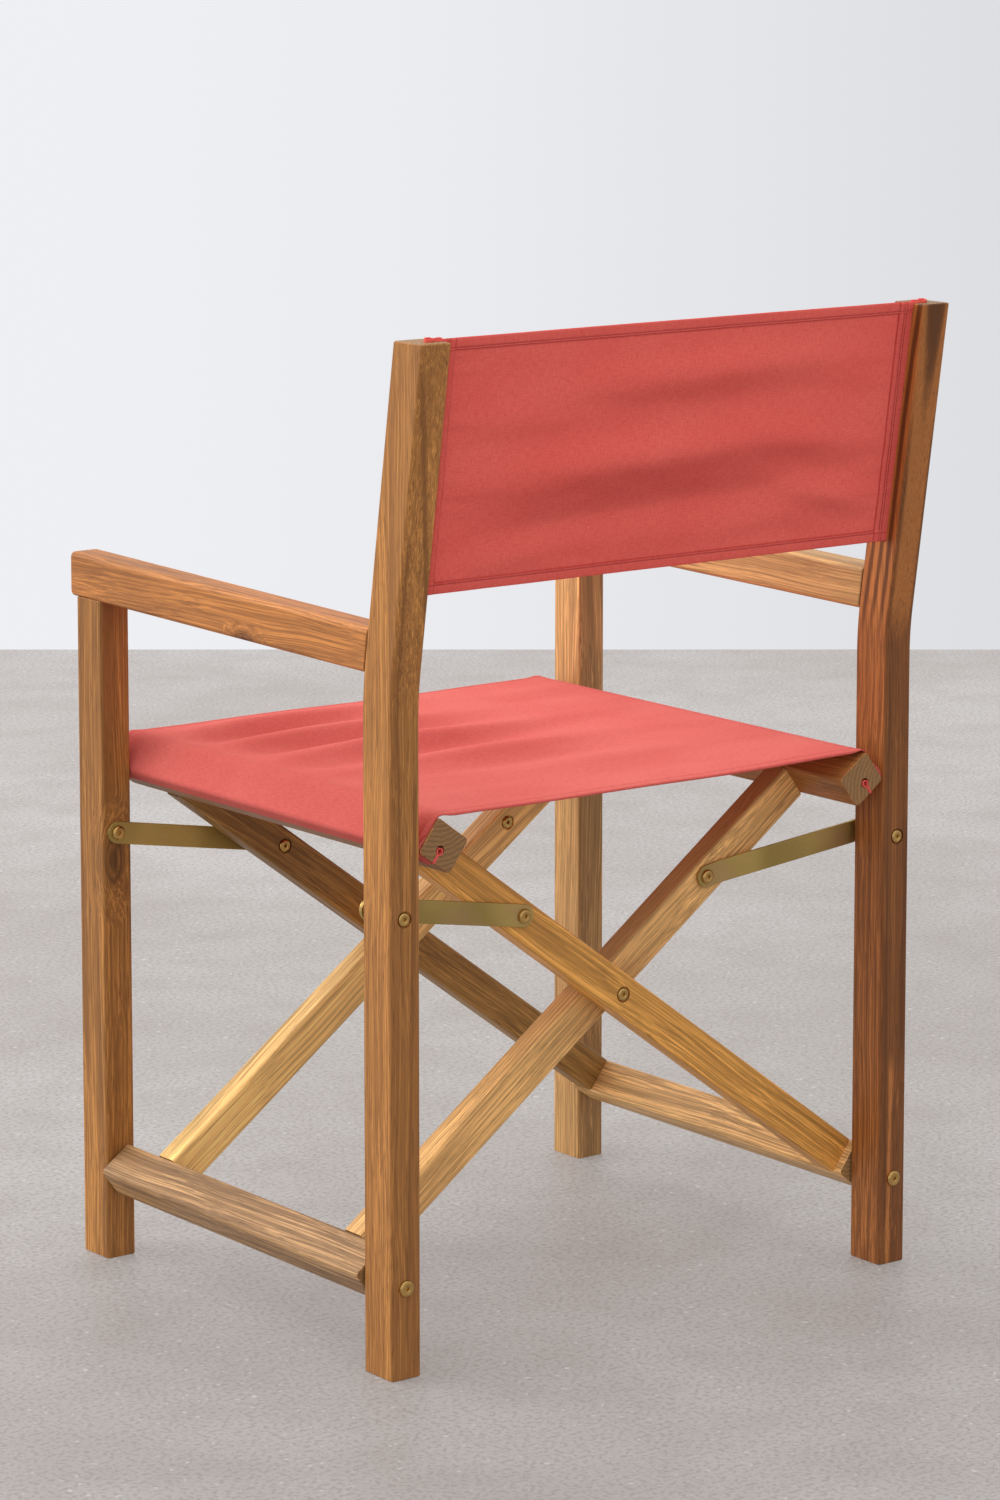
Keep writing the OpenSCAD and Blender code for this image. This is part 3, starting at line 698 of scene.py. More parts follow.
def rear_post(side):
    """Bent post, grain along the height: local X up, local Y to the rear."""
    ease, ease_h, steps = 0.0016, 0.0009, 10
    outline = section(rectangle(POST_Y, POST_X, EDGE_R))
    eased = section(rectangle(POST_Y - ease, POST_X - ease, EDGE_R))
    rings = [[(0.0, p.x, p.y) for p in eased], [(ease_h, p.x, p.y) for p in outline]]
    for k in range(steps + 1):
        rings.append([(*bend_point(p.x, LEAN * k / steps), p.y) for p in outline])
    for points, drop in ((outline, ease_h), (eased, 0.0)):
        ring = []
        for p in points:
            h, y = bend_point(p.x, LEAN)
            run = (POST_TOP - drop - h) / math.cos(LEAN)
            ring.append((h + run * math.cos(LEAN), y + run * math.sin(LEAN), p.y))
        rings.append(ring)
    origin = Vector((side * POST_MID, Y_REAR - POST_Y / 2, 0))
    post = loft(f"{side_name(side)}_post_timber", rings, basis(origin, (0, 0, 1), (0, 1, 0)))
    hole_x, mouth_x = side * (POST_IN + BACK_HOLE_IN), side * (POST_IN - 0.002)
    heights = BACK_LOW_Z - 0.001, POST_TOP + 0.03
    slot = [lean_point(x, -BACK_D + n * SLOT_W / 2, z) for z in heights
            for x, n in ((mouth_x, -1), (hole_x, -1), (hole_x, 1), (mouth_x, 1))]
    low, high = (lean_point(hole_x, -BACK_D, z) for z in heights)
    return carve(post, [cylinder("cut", low, high, BACK_HOLE_R), block("cut", slot),
                        sink_at(side * LINK_POST.x, LINK_POST.z, 0.0, 1)])


def front_leg(side):
    top = ARM_LO[2] + 0.0075
    leg = prism(f"{side_name(side)}_leg_timber", lambda i: section(rectangle(POST_Y - 2 * i, POST_X - 2 * i, EDGE_R)),
                top, basis((side * POST_MID, Y_FRONT + POST_Y / 2, 0), (0, 0, 1), (0, 1, 0)))
    return carve(leg, [sink_at(side * LINK_POST.x, LINK_POST.z, FRAME_DEPTH, -1)])


def armrest(side):
    """Armrest from the post to the front, its nose rounded; local X runs forward. The rear end meets the lean."""
    r = 0.0045
    length, width = ARM_HI[1] - ARM_LO[1], ARM_HI[0] - ARM_LO[0]
    rear_low, rear_top = ARM_LO[2], ARM_LO[2] + 0.038
    front_low, front_top = ARM_LO[2] + 0.007, ARM_HI[2]
    turns = [math.pi / 2 * k / 5 for k in range(6)]
    stations = [(0.0, 0.0006), (0.0008, 0.0)]
    stations += [(length - r + r * math.sin(a), r * (1 - math.cos(a))) for a in turns]
    rings = []
    for x, inset in stations:
        t = x / length
        low = rear_low + (front_low - rear_low) * t + inset
        top = rear_top + (front_top - rear_top) * t - inset
        mid = (low + top) / 2
        cut = math.tan(LEAN) if x < 0.002 else 0.0
        rings.append([(x + cut * (rear_top - p.y - mid), p.x, p.y + mid)
                      for p in section(rectangle(width - 2 * inset, top - low, r))])
    centre = Vector((side * (ARM_LO[0] + ARM_HI[0]) / 2, ARM_HI[1], 0))
    return loft(f"{side_name(side)}_arm_timber", rings, basis(centre, (0, -1, 0), (1, 0, 0)))


def rail(name, leg_side, centre_u, size, radii, d0, d1):
    """A rail square to the legs of one side, with a radius for each edge. Its local Y is u, its local Z minus v."""
    u_axis = leg_point(leg_side, 1, 0) - leg_point(leg_side, 0, 0)
    flip = 1 if leg_side > 0 else -1

    def outline(inset):
        w, h = size[0] - 2 * inset, size[1] - 2 * inset
        corners = [(y, z, r) for (y, z, _), r in zip(rectangle(w, h, 0), radii)]
        return [Vector((p.x, flip * p.y)) for p in section(corners)]

    return prism(name, outline, d1 - d0, basis(leg_point(leg_side, centre_u, 0, fwd(d1)), (0, 1, 0), u_axis), 0.0007)


def seat_rail(side):
    d0, d1 = 0.0015, FRAME_DEPTH - 0.0015
    centre = HEAD_D + SEAT_RAIL[0] / 2
    obj = rail(f"{side_name(side)}_seat_rail_timber", side, centre, SEAT_RAIL, (0.003, 0.003, 0.003, 0.0055), d0, d1)
    ends = fwd(d1 + 0.01), fwd(d0 - 0.01)
    hole = [leg_point(side, centre + HOLE_U, HOLE_V, y) for y in ends]
    slot = [leg_point(side, centre + HOLE_U + du * SLOT_W / 2, v, y) for v in (-SEAT_RAIL[1], HOLE_V)
            for du, y in ((-1, ends[0]), (1, ends[0]), (1, ends[1]), (-1, ends[1]))]
    return carve(obj, [cylinder("cut", *hole, HOLE_R), block("cut", slot)])


def bottom_rail(side):
    """side is the chair side; the cross legs that foot on it rise to the other side."""
    centre = -FOOT_D - LOW_RAIL[0] / 2
    return rail(f"{side_name(side)}_bottom_rail_timber", -side, centre, LOW_RAIL,
                (0.003, 0.003, 0.003, LOW_RAIL_R), POST_Y + 0.002, FRAME_DEPTH - POST_Y - 0.002)


def cross_leg(name, side, d, sinks):
    """One leg of the X. sinks are (x, z, depth, toward) recesses for its bolt heads."""
    start = leg_point(side, -FOOT_D, 0, fwd(d + LEG_T / 2))
    u_axis = leg_point(side, 1, 0) - leg_point(side, 0, 0)
    leg = prism(name, lambda i: section(rectangle(LEG_T - 2 * i, LEG_W - 2 * i, EDGE_R)),
                FOOT_D + HEAD_D, basis(start, u_axis, (0, 1, 0)), 0.0003)
    return carve(leg, [sink_at(*s) for s in sinks])


# ---- Hardware ----

def bolt(name, x, z, d, length, head_r=HEAD_R, toward=1):
    """Button-head bolt with a hex socket. d is the underside's forward distance; the head faces the rear for 1."""
    count = 36
    rim, dome, flat = 0.0009, 0.0022, head_r * 0.55
    rings = [circle(SHANK_R, h) for h in (-length, 0.0)]
    rings += [circle(head_r - 0.0003, 0.0), circle(head_r, 0.0003), circle(head_r, rim)]
    for k in range(1, 8):
        a = math.pi / 2 * k / 8
        rings.append(circle(flat + (head_r - flat) * math.cos(a), rim + dome * math.sin(a)))
    rings += [circle(flat - 0.0002, 0.00300), circle(flat - 0.0006, 0.00285)]
    rings += [circle(0.0022, 0.00285), circle(0.0020, 0.0026)]
    for h in (0.0025, 0.0002):
        ring = []
        for k in range(count):
            a = 2 * math.pi * k / count
            r = 0.0018 * math.cos(math.pi / 6) / math.cos(a % (math.pi / 3) - math.pi / 6)
            ring.append((r * math.cos(a), r * math.sin(a), h))
        rings.append(ring)
    return loft(name, rings, basis((x, fwd(d), z), (toward, 0, 0), (0, 0, -1)))


def link(name, side, d0, d1):
    """Flat stay from the post pivot to the leg pivot, round at both ends; d0 and d1 are its depths there."""
    post = Vector((LINK_POST.x, 0, LINK_POST.z))
    leg = Vector((LINK_LEG.x, 0, LINK_LEG.z))
    length = (post - leg).length
    bend, half, soft = 0.013, LINK_W / 2, 0.0006
    turns = [math.pi / 2 * k / 8 for k in range(9)]
    near = [(-half * math.cos(a), max(half * math.sin(a), 0.0012)) for a in turns]
    near += [(bend + x, half) for x in (-0.002, 0.0, 0.002)]
    rings = []
    for x, h in near + [(length - x, h) for x, h in reversed(near)]:
        t = min(max((x - bend) / (length - 2 * bend), 0.0), 1.0)
        d = d0 + (d1 - d0) * t + LINK_T / 2
        outline = section(rectangle(LINK_T, 2 * h, min(soft, h * 0.45)), 3)
        rings.append([(x, -d - p.x if side > 0 else d + p.x, p.y) for p in outline])
    along = (leg - post).normalized()
    origin = Vector((side * post.x, Y_REAR, post.z))
    return loft(name, rings, basis(origin, (side * along.x, 0, along.z), (0, side, 0)))


# ---- Canvas ----

def ridge(x, y, x0, y0, sx, sy, tilt=0.0):
    """A soft elongated fold centred at (x0, y0)."""
    c, s = math.cos(tilt), math.sin(tilt)
    dx, dy = x - x0, y - y0
    a, b = dx * c + dy * s, -dx * s + dy * c
    return math.exp(-(a / sx) ** 2 - (b / sy) ** 2)


def filled(positions, step):
    """The positions again, with points between them so that none are further than step apart."""
    out = [positions[0]]
    for a, b in zip(positions, positions[1:]):
        count = max(1, math.ceil((b - a) / step - 1e-9))
        out += [a + (b - a) * k / count for k in range(1, count + 1)]
    return out


def cloth_grid(name, grid):
    """A closed sheet from rows of (top point, bottom point, flat coordinates, weight of painted shade)."""
    rows, cols = len(grid), len(grid[0])
    size = rows * cols
    top, bottom, flat, painted_shades = zip(*(cell for row in grid for cell in row))
    faces = []
    for i in range(rows - 1):
        for j in range(cols - 1):
            a = i * cols + j
            faces.append((a, a + 1, a + cols + 1, a + cols))
            faces.append((size + a, size + a + cols, size + a + cols + 1, size + a + 1))
    rim = [j for j in range(cols - 1)] + [i * cols + cols - 1 for i in range(rows - 1)]
    rim += [(rows - 1) * cols + j for j in range(cols - 1, 0, -1)] + [i * cols for i in range(rows - 1, 0, -1)]
    faces += [(b, a, size + a, size + b) for a, b in zip(rim, rim[1:] + rim[:1])]
    obj = make_object(name, top + bottom, faces)
    layer = obj.data.uv_layers.new(name="cloth")
    for loop in obj.data.loops:
        layer.data[loop.index].uv = flat[loop.vertex_index % size]
    # The painted shade weight, which the canvas material darkens by.
    weights = obj.data.attributes.new("painted_shade", "FLOAT", "POINT")
    for i, w in enumerate(painted_shades * 2):
        weights.data[i].value = w
    tidy_normals(obj)
    return shade(obj, 50, weighted=False)


HEM = 0.010
SEAM_IN = 0.0145
STITCH_IN = 0.0018
HEM_ROWS = [0.0, 0.0004, 0.0012, 0.0030, 0.0052, 0.0070, 0.0077, 0.0082, 0.0087, 0.0094, 0.0098, 0.0102,
            0.0107, 0.0118]
SEAM_ROWS = [-0.0016, -0.0008, -0.0003, 0.0002, 0.0007, 0.0012, 0.0017, 0.0022, 0.0036, 0.0050, 0.0055, 0.0060,
             0.0068, 0.0076, 0.0081, 0.0086, 0.0105]
SEAM_STITCHES = 0.0055, 0.0081
SEAM = POST_IN - SEAM_IN
BACK_OUT = Vector((0, math.cos(LEAN), -math.sin(LEAN)))
BACK_UP = Vector((0, math.sin(LEAN), math.cos(LEAN)))


def hem_rows(length, step):
    """Distances across a canvas from one hem to the other, close together in the hems."""
    inner = HEM_ROWS[-1] + 0.0027
    return HEM_ROWS + filled([inner, length - inner], step) + [length - e for e in reversed(HEM_ROWS)]


def bell(x, width):
    return math.exp(-(x / width) ** 2)


def in_hem(edge):
    """1 within a hem, 0 outside it, by the distance from the canvas's edge."""
    return 1 - smoothstep(HEM - 0.0003, HEM + 0.0003, edge)


def rounding(edge, r):
    """How much of its thickness a canvas has near an edge rounded over r."""
    return math.sqrt(max(0.0, 1 - (1 - min(edge / r, 1.0)) ** 2))


def bumps(scale, x, y, seed):
    return noise.noise(Vector((x, y, seed))) * scale


def back_wave(x, h):
    """How far the back canvas bulges to the rear at a point, h up from its lower edge."""
    free = max(0.0, 1 - abs(x / POST_IN) ** 4)
    w = 0.0015 * free * math.sin(math.pi * h / 0.215)
    for x0, h0, amp, wide, tall, tilt in (
            (0.06, 0.098, 0.0080, 0.17, 0.021, -0.05), (0.03, 0.052, -0.0034, 0.15, 0.016, -0.05),
            (-0.02, 0.168, 0.0042, 0.14, 0.018, -0.03), (-0.19, 0.048, 0.0040, 0.07, 0.013, 0.24),
            (-0.17, 0.100, 0.0030, 0.09, 0.015, 0.12), (0.16, 0.142, 0.0022, 0.08, 0.016, 0.06),
            (0.15, 0.030, 0.0020, 0.09, 0.012, -0.08)):
        w += amp * ridge(x, h, x0, h0, wide, tall, tilt) * free
    w += (bumps(0.0009, x * 7, h * 38, 2.0) + bumps(0.0003, x * 30, h * 70, 5.0)) * free
    return w + bumps(0.0009, x * 12, h * 120, 8.0) * smoothstep(0.19, 0.238, abs(x)) * free ** 0.3


def back_point(x, h, off):
    """A point on the back canvas, that far off its middle towards the rear."""
    wave = back_wave(x, h) * (1 - smoothstep(POST_IN - 0.012, POST_IN + 0.002, abs(x)))
    return lean_point(0, -BACK_D, BACK_LOW_Z) + Vector((x, 0, 0)) + BACK_UP * h + BACK_OUT * (wave + off)


def back_canvas():
    height = (POST_TOP + BACK_RISE - BACK_LOW_Z) / math.cos(LEAN) - 0.002
    t = CLOTH_T

    def cell(x, h):
        into, edge = abs(x) - SEAM, min(h, height - h)
        hem = in_hem(edge)
        side = smoothstep(-0.0003, 0.0003, into)
        full = t / 2 + t * hem + 1.25 * t * side * (1 - 0.3 * hem)
        curl = rounding(edge, 0.0014)
        pucker = bumps(0.00020, x * 240, h * 40, 1.0) * hem + bumps(0.00045, x * 60, h * 200, 7.0) * side
        stitch = max(bell(edge - HEM + STITCH_IN, 0.0005), *(bell(into - s, 0.0005) for s in SEAM_STITCHES))
        fold = max(bell(edge - HEM - 0.0002, 0.0005) * (1 - side), bell(into + 0.0003, 0.0006))
        centre = (full - t / 2) / 2
        out = centre + (full - centre) * curl - 0.00035 * stitch + pucker
        # Painted shade: the slopes of the folds that face down, away from the light, are darker, as are the stitch
        # grooves and the hem fold; the hem and seam bands are a little darker too.
        down_slope_shade = (back_wave(x, h + 0.003) - back_wave(x, h - 0.003)) / 0.006
        painted_shade = max(0.8 * stitch, 0.85 * fold, 0.14 * hem, 0.12 * side, min(1.1 * down_slope_shade, 0.36))
        return back_point(x, h, out), back_point(x, h, centre - (centre + t / 2) * curl), (x, h), painted_shade

    right = [SEAM + r for r in SEAM_ROWS] + [POST_IN, POST_IN + 0.004, POST_IN + 0.008]
    xs = [-x for x in reversed(right)] + filled([-SEAM + 0.004, SEAM - 0.004], 0.0052) + right
    hs = hem_rows(height, 0.0042)
    return cloth_grid("back_sling", [[cell(x, h) for h in hs] for x in xs]), height


def back_stitches(height):
    """Thread of the back canvas: both hems and the two side seams, on its rear and front."""
    front = -CLOTH_T / 2
    runs = []
    for h in (HEM - STITCH_IN, height - HEM + STITCH_IN):
        runs.append((lambda s, h=h: back_point(s, h, CLOTH_T * 1.5 - 0.0002), -SEAM, SEAM))
        runs.append((lambda s, h=h: back_point(s, h, front), -POST_IN + 0.001, POST_IN - 0.001))
    for x in [side * (SEAM + inset) for side in (-1, 1) for inset in SEAM_STITCHES]:
        for off in (CLOTH_T * 1.75 - 0.0002, front):
            runs.append((lambda s, x=x, off=off: back_point(x, s, off), 0.002, height - 0.002))
    return stitches("back_stitching", runs)


def stitches(name, runs, pitch=0.0032, length=0.0023, r=0.00032):
    """Short lengths of thread along each run, a run being (point at s, from, to)."""
    verts, faces = [], []
    for point, start, end in runs:
        for i in range(int((end - start) / pitch)):
            s0 = start + i * pitch
            a, b = point(s0), point(s0 + length)
            along = (b - a).normalized()
            side = along.orthogonal().normalized()
            other = along.cross(side)
            base = len(verts)
            for t, k in ((0.0, 0.35), (0.25, 1.0), (0.75, 1.0), (1.0, 0.35)):
                verts += [a.lerp(b, t) + (side * x + other * y) * k for x, y, _ in circle(r, count=6)]
            for ring in range(base, base + 18, 6):
                faces += [(ring + q, ring + (q + 1) % 6, ring + 6 + (q + 1) % 6, ring + 6 + q) for q in range(6)]
            faces.append(tuple(base + q for q in range(5, -1, -1)))
            faces.append(tuple(base + 18 + q for q in range(6)))
    return shade(make_object(name, verts, faces), 80, weighted=False)


def hem_loop(name, centre, across, into, along, length, ring_r, neck):
    """The sewn end of a canvas in its keyhole: a loop round the rod, and its doubled neck in the slot.

    across and into span the loop's plane, into pointing from the hole to the slot's mouth.
    """
    t, half = 0.0008, 0.00075
    gap = math.asin(half / ring_r)
    path = [Vector((-half, neck)), Vector((-half, neck * 0.75)), Vector((-half, ring_r * 1.25))]
    for k in range(25):
        a = math.pi / 2 + gap * 1.6 + (2 * math.pi - 3.2 * gap) * k / 24
        path.append(Vector((ring_r * math.cos(a), ring_r * math.sin(a))))
    path += [Vector((half, ring_r * 1.25)), Vector((half, neck * 0.75)), Vector((half, neck))]
    rings = []
    for i, p in enumerate(path):
        tangent = (path[min(i + 1, len(path) - 1)] - path[max(i - 1, 0)]).normalized()
        normal = Vector((-tangent.y, tangent.x)) * t / 2
        fray = bumps(0.0009, i * 0.9, ring_r * 900, 2.0)
        ring = []
        for side, far in ((1, 0), (1, 1), (-1, 1), (-1, 0)):
            q = p + normal * side
            end = length + bumps(0.0006, i * 1.3, 5.0, 1.0) if far else fray
            ring.append(centre + across * q.x + into * q.y + along * end)
        rings.append(ring)
    obj = loft(name, rings)
    layer = obj.data.uv_layers.new(name="cloth")
    for loop in obj.data.loops:
        ring, corner = divmod(loop.vertex_index, 4)
        layer.data[loop.index].uv = (ring * 0.0008, length if corner in (1, 2) else 0.0)
    return shade(obj, 50, weighted=False)


def fillet(points, radii, steps):
    """A path through 2D points with its inner corners rounded."""
    out = []
    for i, p in enumerate(points):
        if radii[i] <= 0:
            out.append(p)
            continue
        before, after = (points[i - 1] - p).normalized(), (points[i + 1] - p).normalized()
        half = before.angle(after) / 2
        reach = radii[i] / math.tan(half)
        centre = p + (before + after).normalized() * (radii[i] / math.sin(half))
        start, end = p + before * reach - centre, p + after * reach - centre
        out += [centre + start.lerp(end, k / steps).normalized() * radii[i] for k in range(steps + 1)]
    return out


def seat_path():
    """Half of the seat canvas's run in the XZ plane, from the left keyhole slot to the middle of the seat."""
    c, s = math.cos(SLOPE), math.sin(SLOPE)
    gap = 0.0001 + CLOTH_T / 2
    us = HEAD_D + SEAT_RAIL[0] / 2 + HOLE_U
    u1 = HEAD_D + SEAT_RAIL[0] + gap
    v1 = SEAT_RAIL[1] / 2 + gap

    def xz(u, v):
        return Vector((u * c - v * s, CROSS.z + u * s + v * c))

    top = seat_top()
    on_face = (top - CROSS.z - u1 * s) / c
    corners = [xz(us, HOLE_V - 0.001), xz(us, -v1), xz(u1, -v1), xz(u1, on_face), Vector((0.0, top))]
    return fillet(corners, [0, 0.0009, EDGE_R + gap, 0.013, 0], 9)


def seat_top():
    """Height of the middle of the canvas where it leaves the rails."""
    u = HEAD_D + SEAT_RAIL[0] - EDGE_R
    v = SEAT_RAIL[1] / 2 - EDGE_R
    return CROSS.z + u * math.sin(SLOPE) + v * math.cos(SLOPE) + EDGE_R + CLOTH_T / 2 + 0.0024


def seat_wave(x, y):
    """Height of the slung part of the seat above a flat plane, for y from the middle of the seat."""
    half = 0.232
    free = max(0.0, 1 - (x / half) ** 2)
    w = -0.0010 * free
    for y0, amp, x0, wide, tall in (
            (-0.192, 0.0070, 0.11, 0.13, 0.015), (-0.158, -0.0070, 0.12, 0.11, 0.015),
            (-0.120, 0.0080, 0.09, 0.13, 0.016), (-0.082, -0.0070, 0.10, 0.12, 0.016),
            (-0.044, 0.0080, 0.07, 0.14, 0.017), (-0.004, -0.0060, 0.08, 0.14, 0.018),
            (0.038, 0.0064, 0.05, 0.14, 0.018), (0.084, -0.0040, 0.04, 0.15, 0.020),
            (0.130, 0.0034, 0.02, 0.16, 0.022)):
        w += amp * ridge(x, y, x0, y0, wide, tall, 0.04) * min(1.0, free * 3)
    return w + bumps(0.0014, x * 6, y * 26, 3.0) * min(1.0, free * 3)


def seat_canvas():
    margin = 0.003
    length, front = FRAME_DEPTH - 2 * margin, fwd(FRAME_DEPTH - margin)
    half_path = seat_path()
    dense = []
    for a, b in zip(half_path, half_path[1:]):
        count = max(1, math.ceil((b - a).length / 0.0055))
        dense += [a.lerp(b, k / count) for k in range(count)]
    dense.append(half_path[-1])
    path = dense + [Vector((-p.x, p.y)) for p in reversed(dense[:-1])]
    along = [0.0]
    for a, b in zip(path, path[1:]):
        along.append(along[-1] + (b - a).length)
    t = CLOTH_T

    def cell(i, e):
        p = path[i]
        tangent = (path[min(i + 1, len(path) - 1)] - path[max(i - 1, 0)]).normalized()
        slung = smoothstep(0.2345, 0.216, abs(p.x)) if p.y > seat_top() - 0.001 else 0.0
        edge = min(e, length - e)
        hem = in_hem(edge)
        curl = rounding(edge, 0.0012)
        low = -t / 2 - t * hem * slung
        centre = (t / 2 + low) / 2
        stitch = bell(edge - HEM + STITCH_IN, 0.0005)
        fold = bell(edge - HEM - 0.0002, 0.0006) * slung
        away = e - length / 2
        lift = (seat_wave(p.x, away) - 0.0016 * max(0.0, 1 - edge / 0.0085) ** 2) * slung
        gather = max(0.0, 1 - edge / 0.030) * smoothstep(0.225, 0.246, abs(p.x))
        wrinkle = math.sin(e * 780.0 + 3.0 * math.sin(along[i] * 90.0))
        pucker = bumps(0.00020, along[i] * 220, e * 60, 4.0) * hem + gather * (0.0008 + 0.0016 * wrinkle)
        # Painted shade: fold slopes that face the rear, away from the light, the stitch groove, the hem fold, the very
        # edges, the wrinkle valleys at the gathered corners and the part wrapped round the rails are darker; the front
        # hem band is darker too.
        rear_slope_shade = (seat_wave(p.x, away - 0.003) - seat_wave(p.x, away + 0.003)) / 0.006 * slung
        painted_shade = max(0.5 * stitch, 0.35 * fold, 0.5 * bell(edge, 0.0016), min(0.85 * rear_slope_shade, 0.40),
                     0.24 * smoothstep(0.0110, 0.0095, e), 0.20 * (1 - slung), gather * max(0.0, -0.50 * wrinkle))

        def raised(off):
            return Vector((p.x + tangent.y * off, front + e, p.y - tangent.x * off + lift))

        out = centre + (t / 2 - centre) * curl - 0.00022 * stitch + pucker
        return raised(out), raised(centre + (low - centre) * curl), (along[i], e), painted_shade

    es = hem_rows(length, 0.0045)
    grid = [[cell(i, e) for e in es] for i in range(len(path))]
    return cloth_grid("seat_sling", grid), along[-1], length


# ---- Build ----
make_stage(make_camera())

REAR_FACE = 0.0195
BOARDS = {
    "left_rear_post": dict(
        mid=(211, 143, 75), lines=0.85, pores=1.0, rear_shade=(REAR_FACE, 0.54), fade=(0.80, 0.05, 0.44),
        veins=((0.74, 0.002, -0.13, 0.0036, 0.60, 0.86), (0.62, -0.009, -0.02, 0.0020, 0.30, 0.72),
               (0.30, 0.006, 0.02, 0.0024, 0.02, 0.52))),
    "right_rear_post": dict(
        mid=(163, 100, 50), streak=0.6, lines=0.95, pores=0.8, rear_shade=(REAR_FACE, 0.62), fade=(0.60, 0.78, 0.30),
        arches=(0.56, 0.062, 0.85),
        veins=((0.28, 0.010, 0.01, 0.0040, 0.18, 0.42), (0.10, -0.004, 0.01, -0.0030, -0.02, 0.20),
               (0.30, -0.010, 0.00, 0.0022, 0.02, 0.56))),
    "left_front_leg": dict(mid=(181, 122, 62), streak=0.6, lines=0.9, pores=0.8, rear_shade=(REAR_FACE, 0.28),
                           knots=((0.366, 0.018, -0.004, 0.010),)),
    "right_front_leg": dict(mid=(228, 176, 112), lines=0.8, rear_shade=(REAR_FACE, 0.97)),
    "left_armrest": dict(mid=(184, 117, 60), streak=0.45, lines=0.6, knots=((0.180, 0.015, 0.597, 0.006),)),
    "right_armrest": dict(mid=(198, 154, 98), streak=0.45, lines=0.6, pores=0.4),
    "left_seat_rail": dict(mid=(166, 112, 64), streak=0.6, pores=0.8),
    "right_seat_rail": dict(mid=(182, 120, 64), streak=0.6, pores=0.8),
    "left_bottom_rail": dict(mid=(182, 140, 96), streak=0.8, lines=1.0, pores=0.8),
    "right_bottom_rail": dict(mid=(234, 184, 120), streak=0.6, lines=0.9),
    "rear_outer_leg": dict(mid=(220, 157, 78), streak=0.45, lines=0.7),
    "rear_inner_leg": dict(mid=(238, 184, 116), streak=0.40, lines=0.7, pores=0.9,
                           veins=((0.5, -0.0185, 0.0, 0.0050, 0.28, 0.70),)),
    "front_outer_leg": dict(mid=(154, 112, 58), streak=0.6, lines=0.7, pores=0.8),
    "front_inner_leg": dict(mid=(240, 194, 122), streak=0.40, lines=0.6, pores=0.4),
}
WOODS = {key: wood(f"wood_{key}", seed=i, **board) for i, (key, board) in enumerate(BOARDS.items(), 1)}

for side in (1, -1):
    bodies = f"{side_name(side)}_side", "outer_frame", "inner_frame"
    for part, make, body, slot in (
            ("rear_post", rear_post, bodies[0], "post_wood"), ("front_leg", front_leg, bodies[0], "post_wood"),
            ("armrest", armrest, bodies[0], "armrest_wood"), ("seat_rail", seat_rail, bodies[side], "rail_wood"),
            ("bottom_rail", bottom_rail, bodies[-side], "rail_wood")):
        node = f"{side_name(side)}_{part}"
        place(shade(make(side)), body, WOODS[node], node, slot=slot)

LEG_D = {"rear_outer": 0.050, "rear_inner": 0.075, "front_inner": 0.361, "front_outer": 0.402}
for key, d in LEG_D.items():
    side = 1 if "outer" in key else -1
    sinks = [(CROSS.x, CROSS.z, d, 1)] if key in ("rear_outer", "front_inner") else []
    if key.startswith("front"):
        sinks.append((side * LINK_LEG.x, LINK_LEG.z, d, 1))
    leg = cross_leg(f"{key}_leg_timber", side, d, sinks)
    slot = "light_leg_wood" if key == "rear_outer" else "leg_wood"
    place(shade(leg), f"{key.split('_')[1]}_frame", WOODS[f"{key}_leg"], f"{key}_leg", slot=slot)


def add_bolt(name, body, nodes, *shape, **more):
    place(shade(bolt(name, *shape, **more), 28), body, MAT_BOLT, *nodes, slot="bolt_zinc")


STAY_REAR_D, STAY_REAR_RIGHT_D = 0.0466, 0.0716
STAY_FRONT_D, STAY_FRONT_RIGHT_D = FRAME_DEPTH - POST_Y - 0.0032, 0.3854
for side in (1, -1):
    s = side_name(side)
    body = f"{s}_side"
    rail_x, post_x, leg_x = side * PIVOT.x, side * LINK_POST.x, side * LINK_LEG.x
    rear_d = STAY_REAR_D if side > 0 else STAY_REAR_RIGHT_D
    front_d = STAY_FRONT_D if side > 0 else STAY_FRONT_RIGHT_D
    add_bolt(f"{s}_rear_rail_bolt", body, [f"{s}_rail_bolts"], rail_x, PIVOT.z, 0.0, 0.060, RAIL_HEAD_R)
    add_bolt(f"{s}_front_rail_bolt", body, [], rail_x, PIVOT.z, FRAME_DEPTH, 0.060, RAIL_HEAD_R, toward=-1)
    add_bolt(f"{s}_rear_post_bolt", body, [f"{s}_link_bolts"], post_x, LINK_POST.z, SINK, 0.052)
    add_bolt(f"{s}_front_post_bolt", body, [], post_x, LINK_POST.z, STAY_FRONT_D - 0.0002, 0.0395, STAY_HEAD_R)
    add_bolt(f"{s}_rear_stay_bolt", f"{s}_rear_link_bar", [f"{s}_rear_link_bolt"],
             leg_x, LINK_LEG.z, rear_d - 0.0001, 0.003, STAY_HEAD_R)
    for end, d_leg, d_post in (("rear", rear_d, STAY_REAR_D), ("front", front_d, STAY_FRONT_D)):
        bar = link(f"{s}_{end}_stay", side, d_post, d_leg)
        place(shade(bar, 30), f"{s}_{end}_link_bar", MAT_LINK, f"{s}_{end}_link", slot="link_zinc")

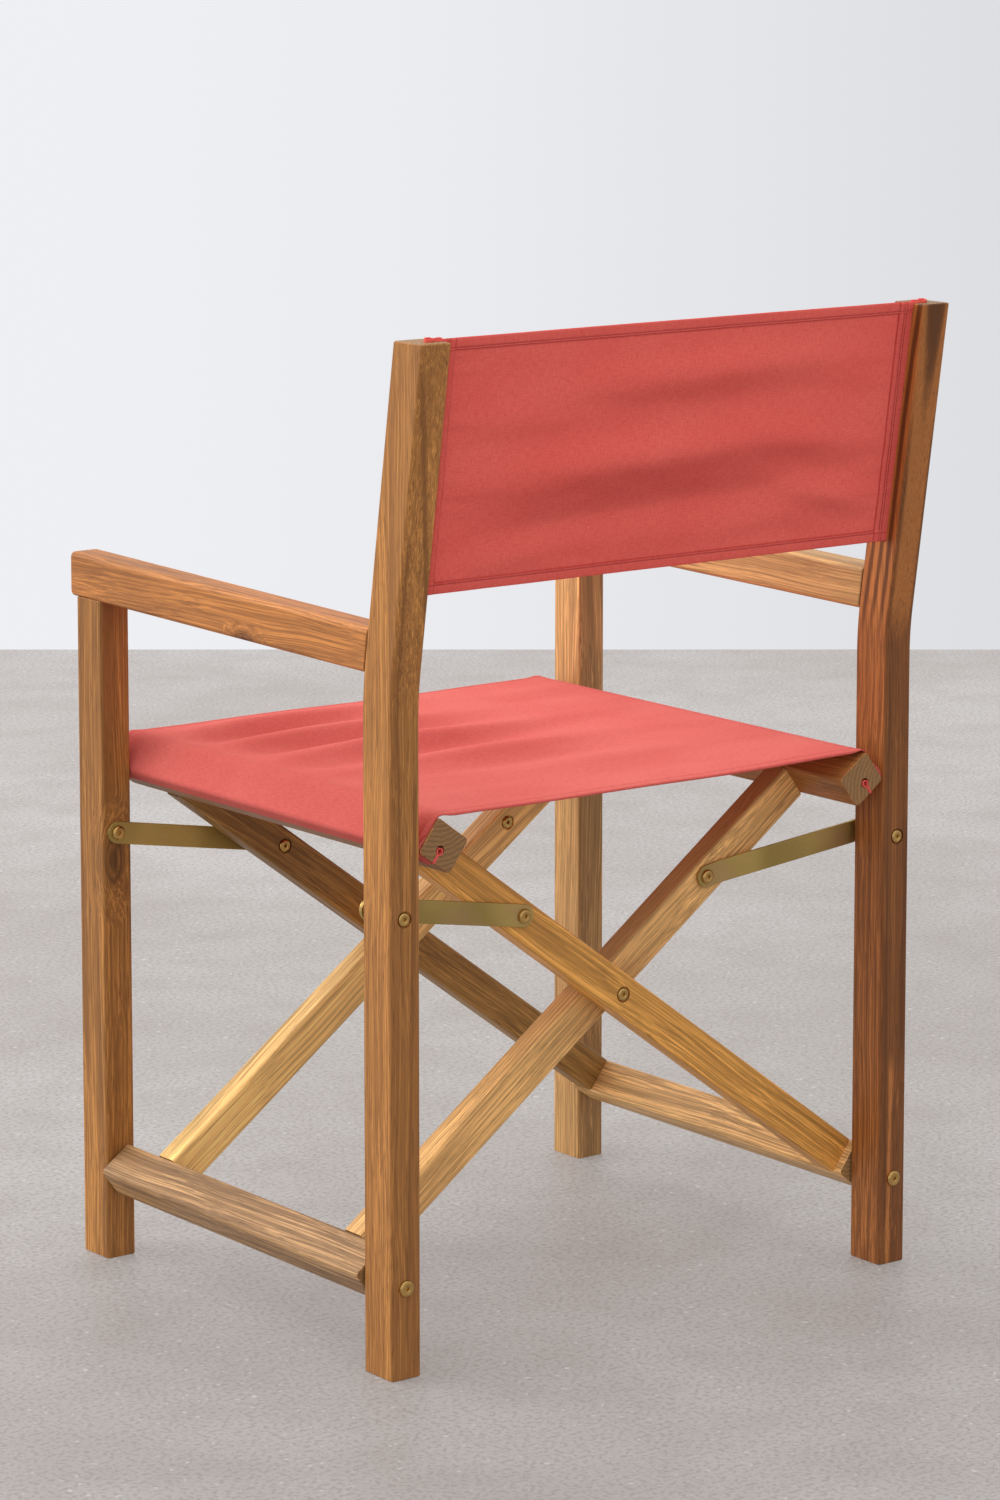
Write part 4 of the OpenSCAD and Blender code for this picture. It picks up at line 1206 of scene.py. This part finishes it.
for name, body, node, x, z, leg, length in (
        ("outer_leg_stay_bolt", "outer_frame", "outer_leg_bolt", LINK_LEG.x, LINK_LEG.z, "front_outer", LEG_T - SINK),
        ("inner_leg_stay_bolt", "inner_frame", "inner_leg_bolt", -LINK_LEG.x, LINK_LEG.z, "front_inner", LEG_T - SINK),
        ("rear_cross_pin", "outer_frame", "rear_cross_bolt", 0.0, CROSS.z, "rear_outer", 0.052),
        ("front_cross_pin", "outer_frame", "front_cross_bolt", 0.0, CROSS.z, "front_inner", 0.068)):
    add_bolt(name, body, [node], x, z, LEG_D[leg] + SINK, length)

# CAD solids that stay in sight keep their shape and take a finish
for name, obj in frame["nodes"].items():
    if not obj.hide_render:
        obj.data.materials.clear()
        obj.data.materials.append(MAT_DOWEL if "dowel" in name or "rod" in name else MAT_BOLT)

back, back_height = back_canvas()
place(back, None, MAT_BACK, "back_canvas", slot="canvas")
back_thread = place(back_stitches(back_height), None, MAT_THREAD, slot="canvas")
for side in (1, -1):
    low = lean_point(side * (POST_IN + BACK_HOLE_IN - 0.0004), -BACK_D, BACK_LOW_Z)
    loop = hem_loop(f"{side_name(side)}_back_loop", low, BACK_OUT, Vector((-side, 0, 0)), BACK_UP,
                    back_height + 0.0008, 0.0037, 0.0125)
    place(loop, f"{side_name(side)}_side", MAT_BACK, slot="canvas")
for piece in (back, back_thread):
    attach(piece, "left_side")
    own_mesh(piece)

seat, seat_width, seat_depth = seat_canvas()
place(seat, None, MAT_SEAT, "seat_canvas", slot="canvas")
for side, body in ((1, "outer_frame"), (-1, "inner_frame")):
    s = side_name(side)
    u_axis = leg_point(side, 1, 0) - leg_point(side, 0, 0)
    v_axis = leg_point(side, 0, 1) - leg_point(side, 0, 0)

    def in_hole(d):
        return leg_point(side, HEAD_D + SEAT_RAIL[0] / 2 + HOLE_U, HOLE_V - 0.0010, fwd(d))

    loop = hem_loop(f"{s}_seat_loop", in_hole(FRAME_DEPTH - 0.0010), u_axis, -v_axis, Vector((0, 1, 0)),
                    FRAME_DEPTH - 0.0020, 0.0028, 0.0112)
    place(loop, body, MAT_BACK, slot="canvas")
    rod = cylinder(f"{s}_seat_rod_steel", in_hole(FRAME_DEPTH - 0.016), in_hole(0.016), 0.0022)
    place(shade(rod), body, MAT_BOLT, f"{s}_seat_rod", slot="bolt_zinc")
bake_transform(seat)
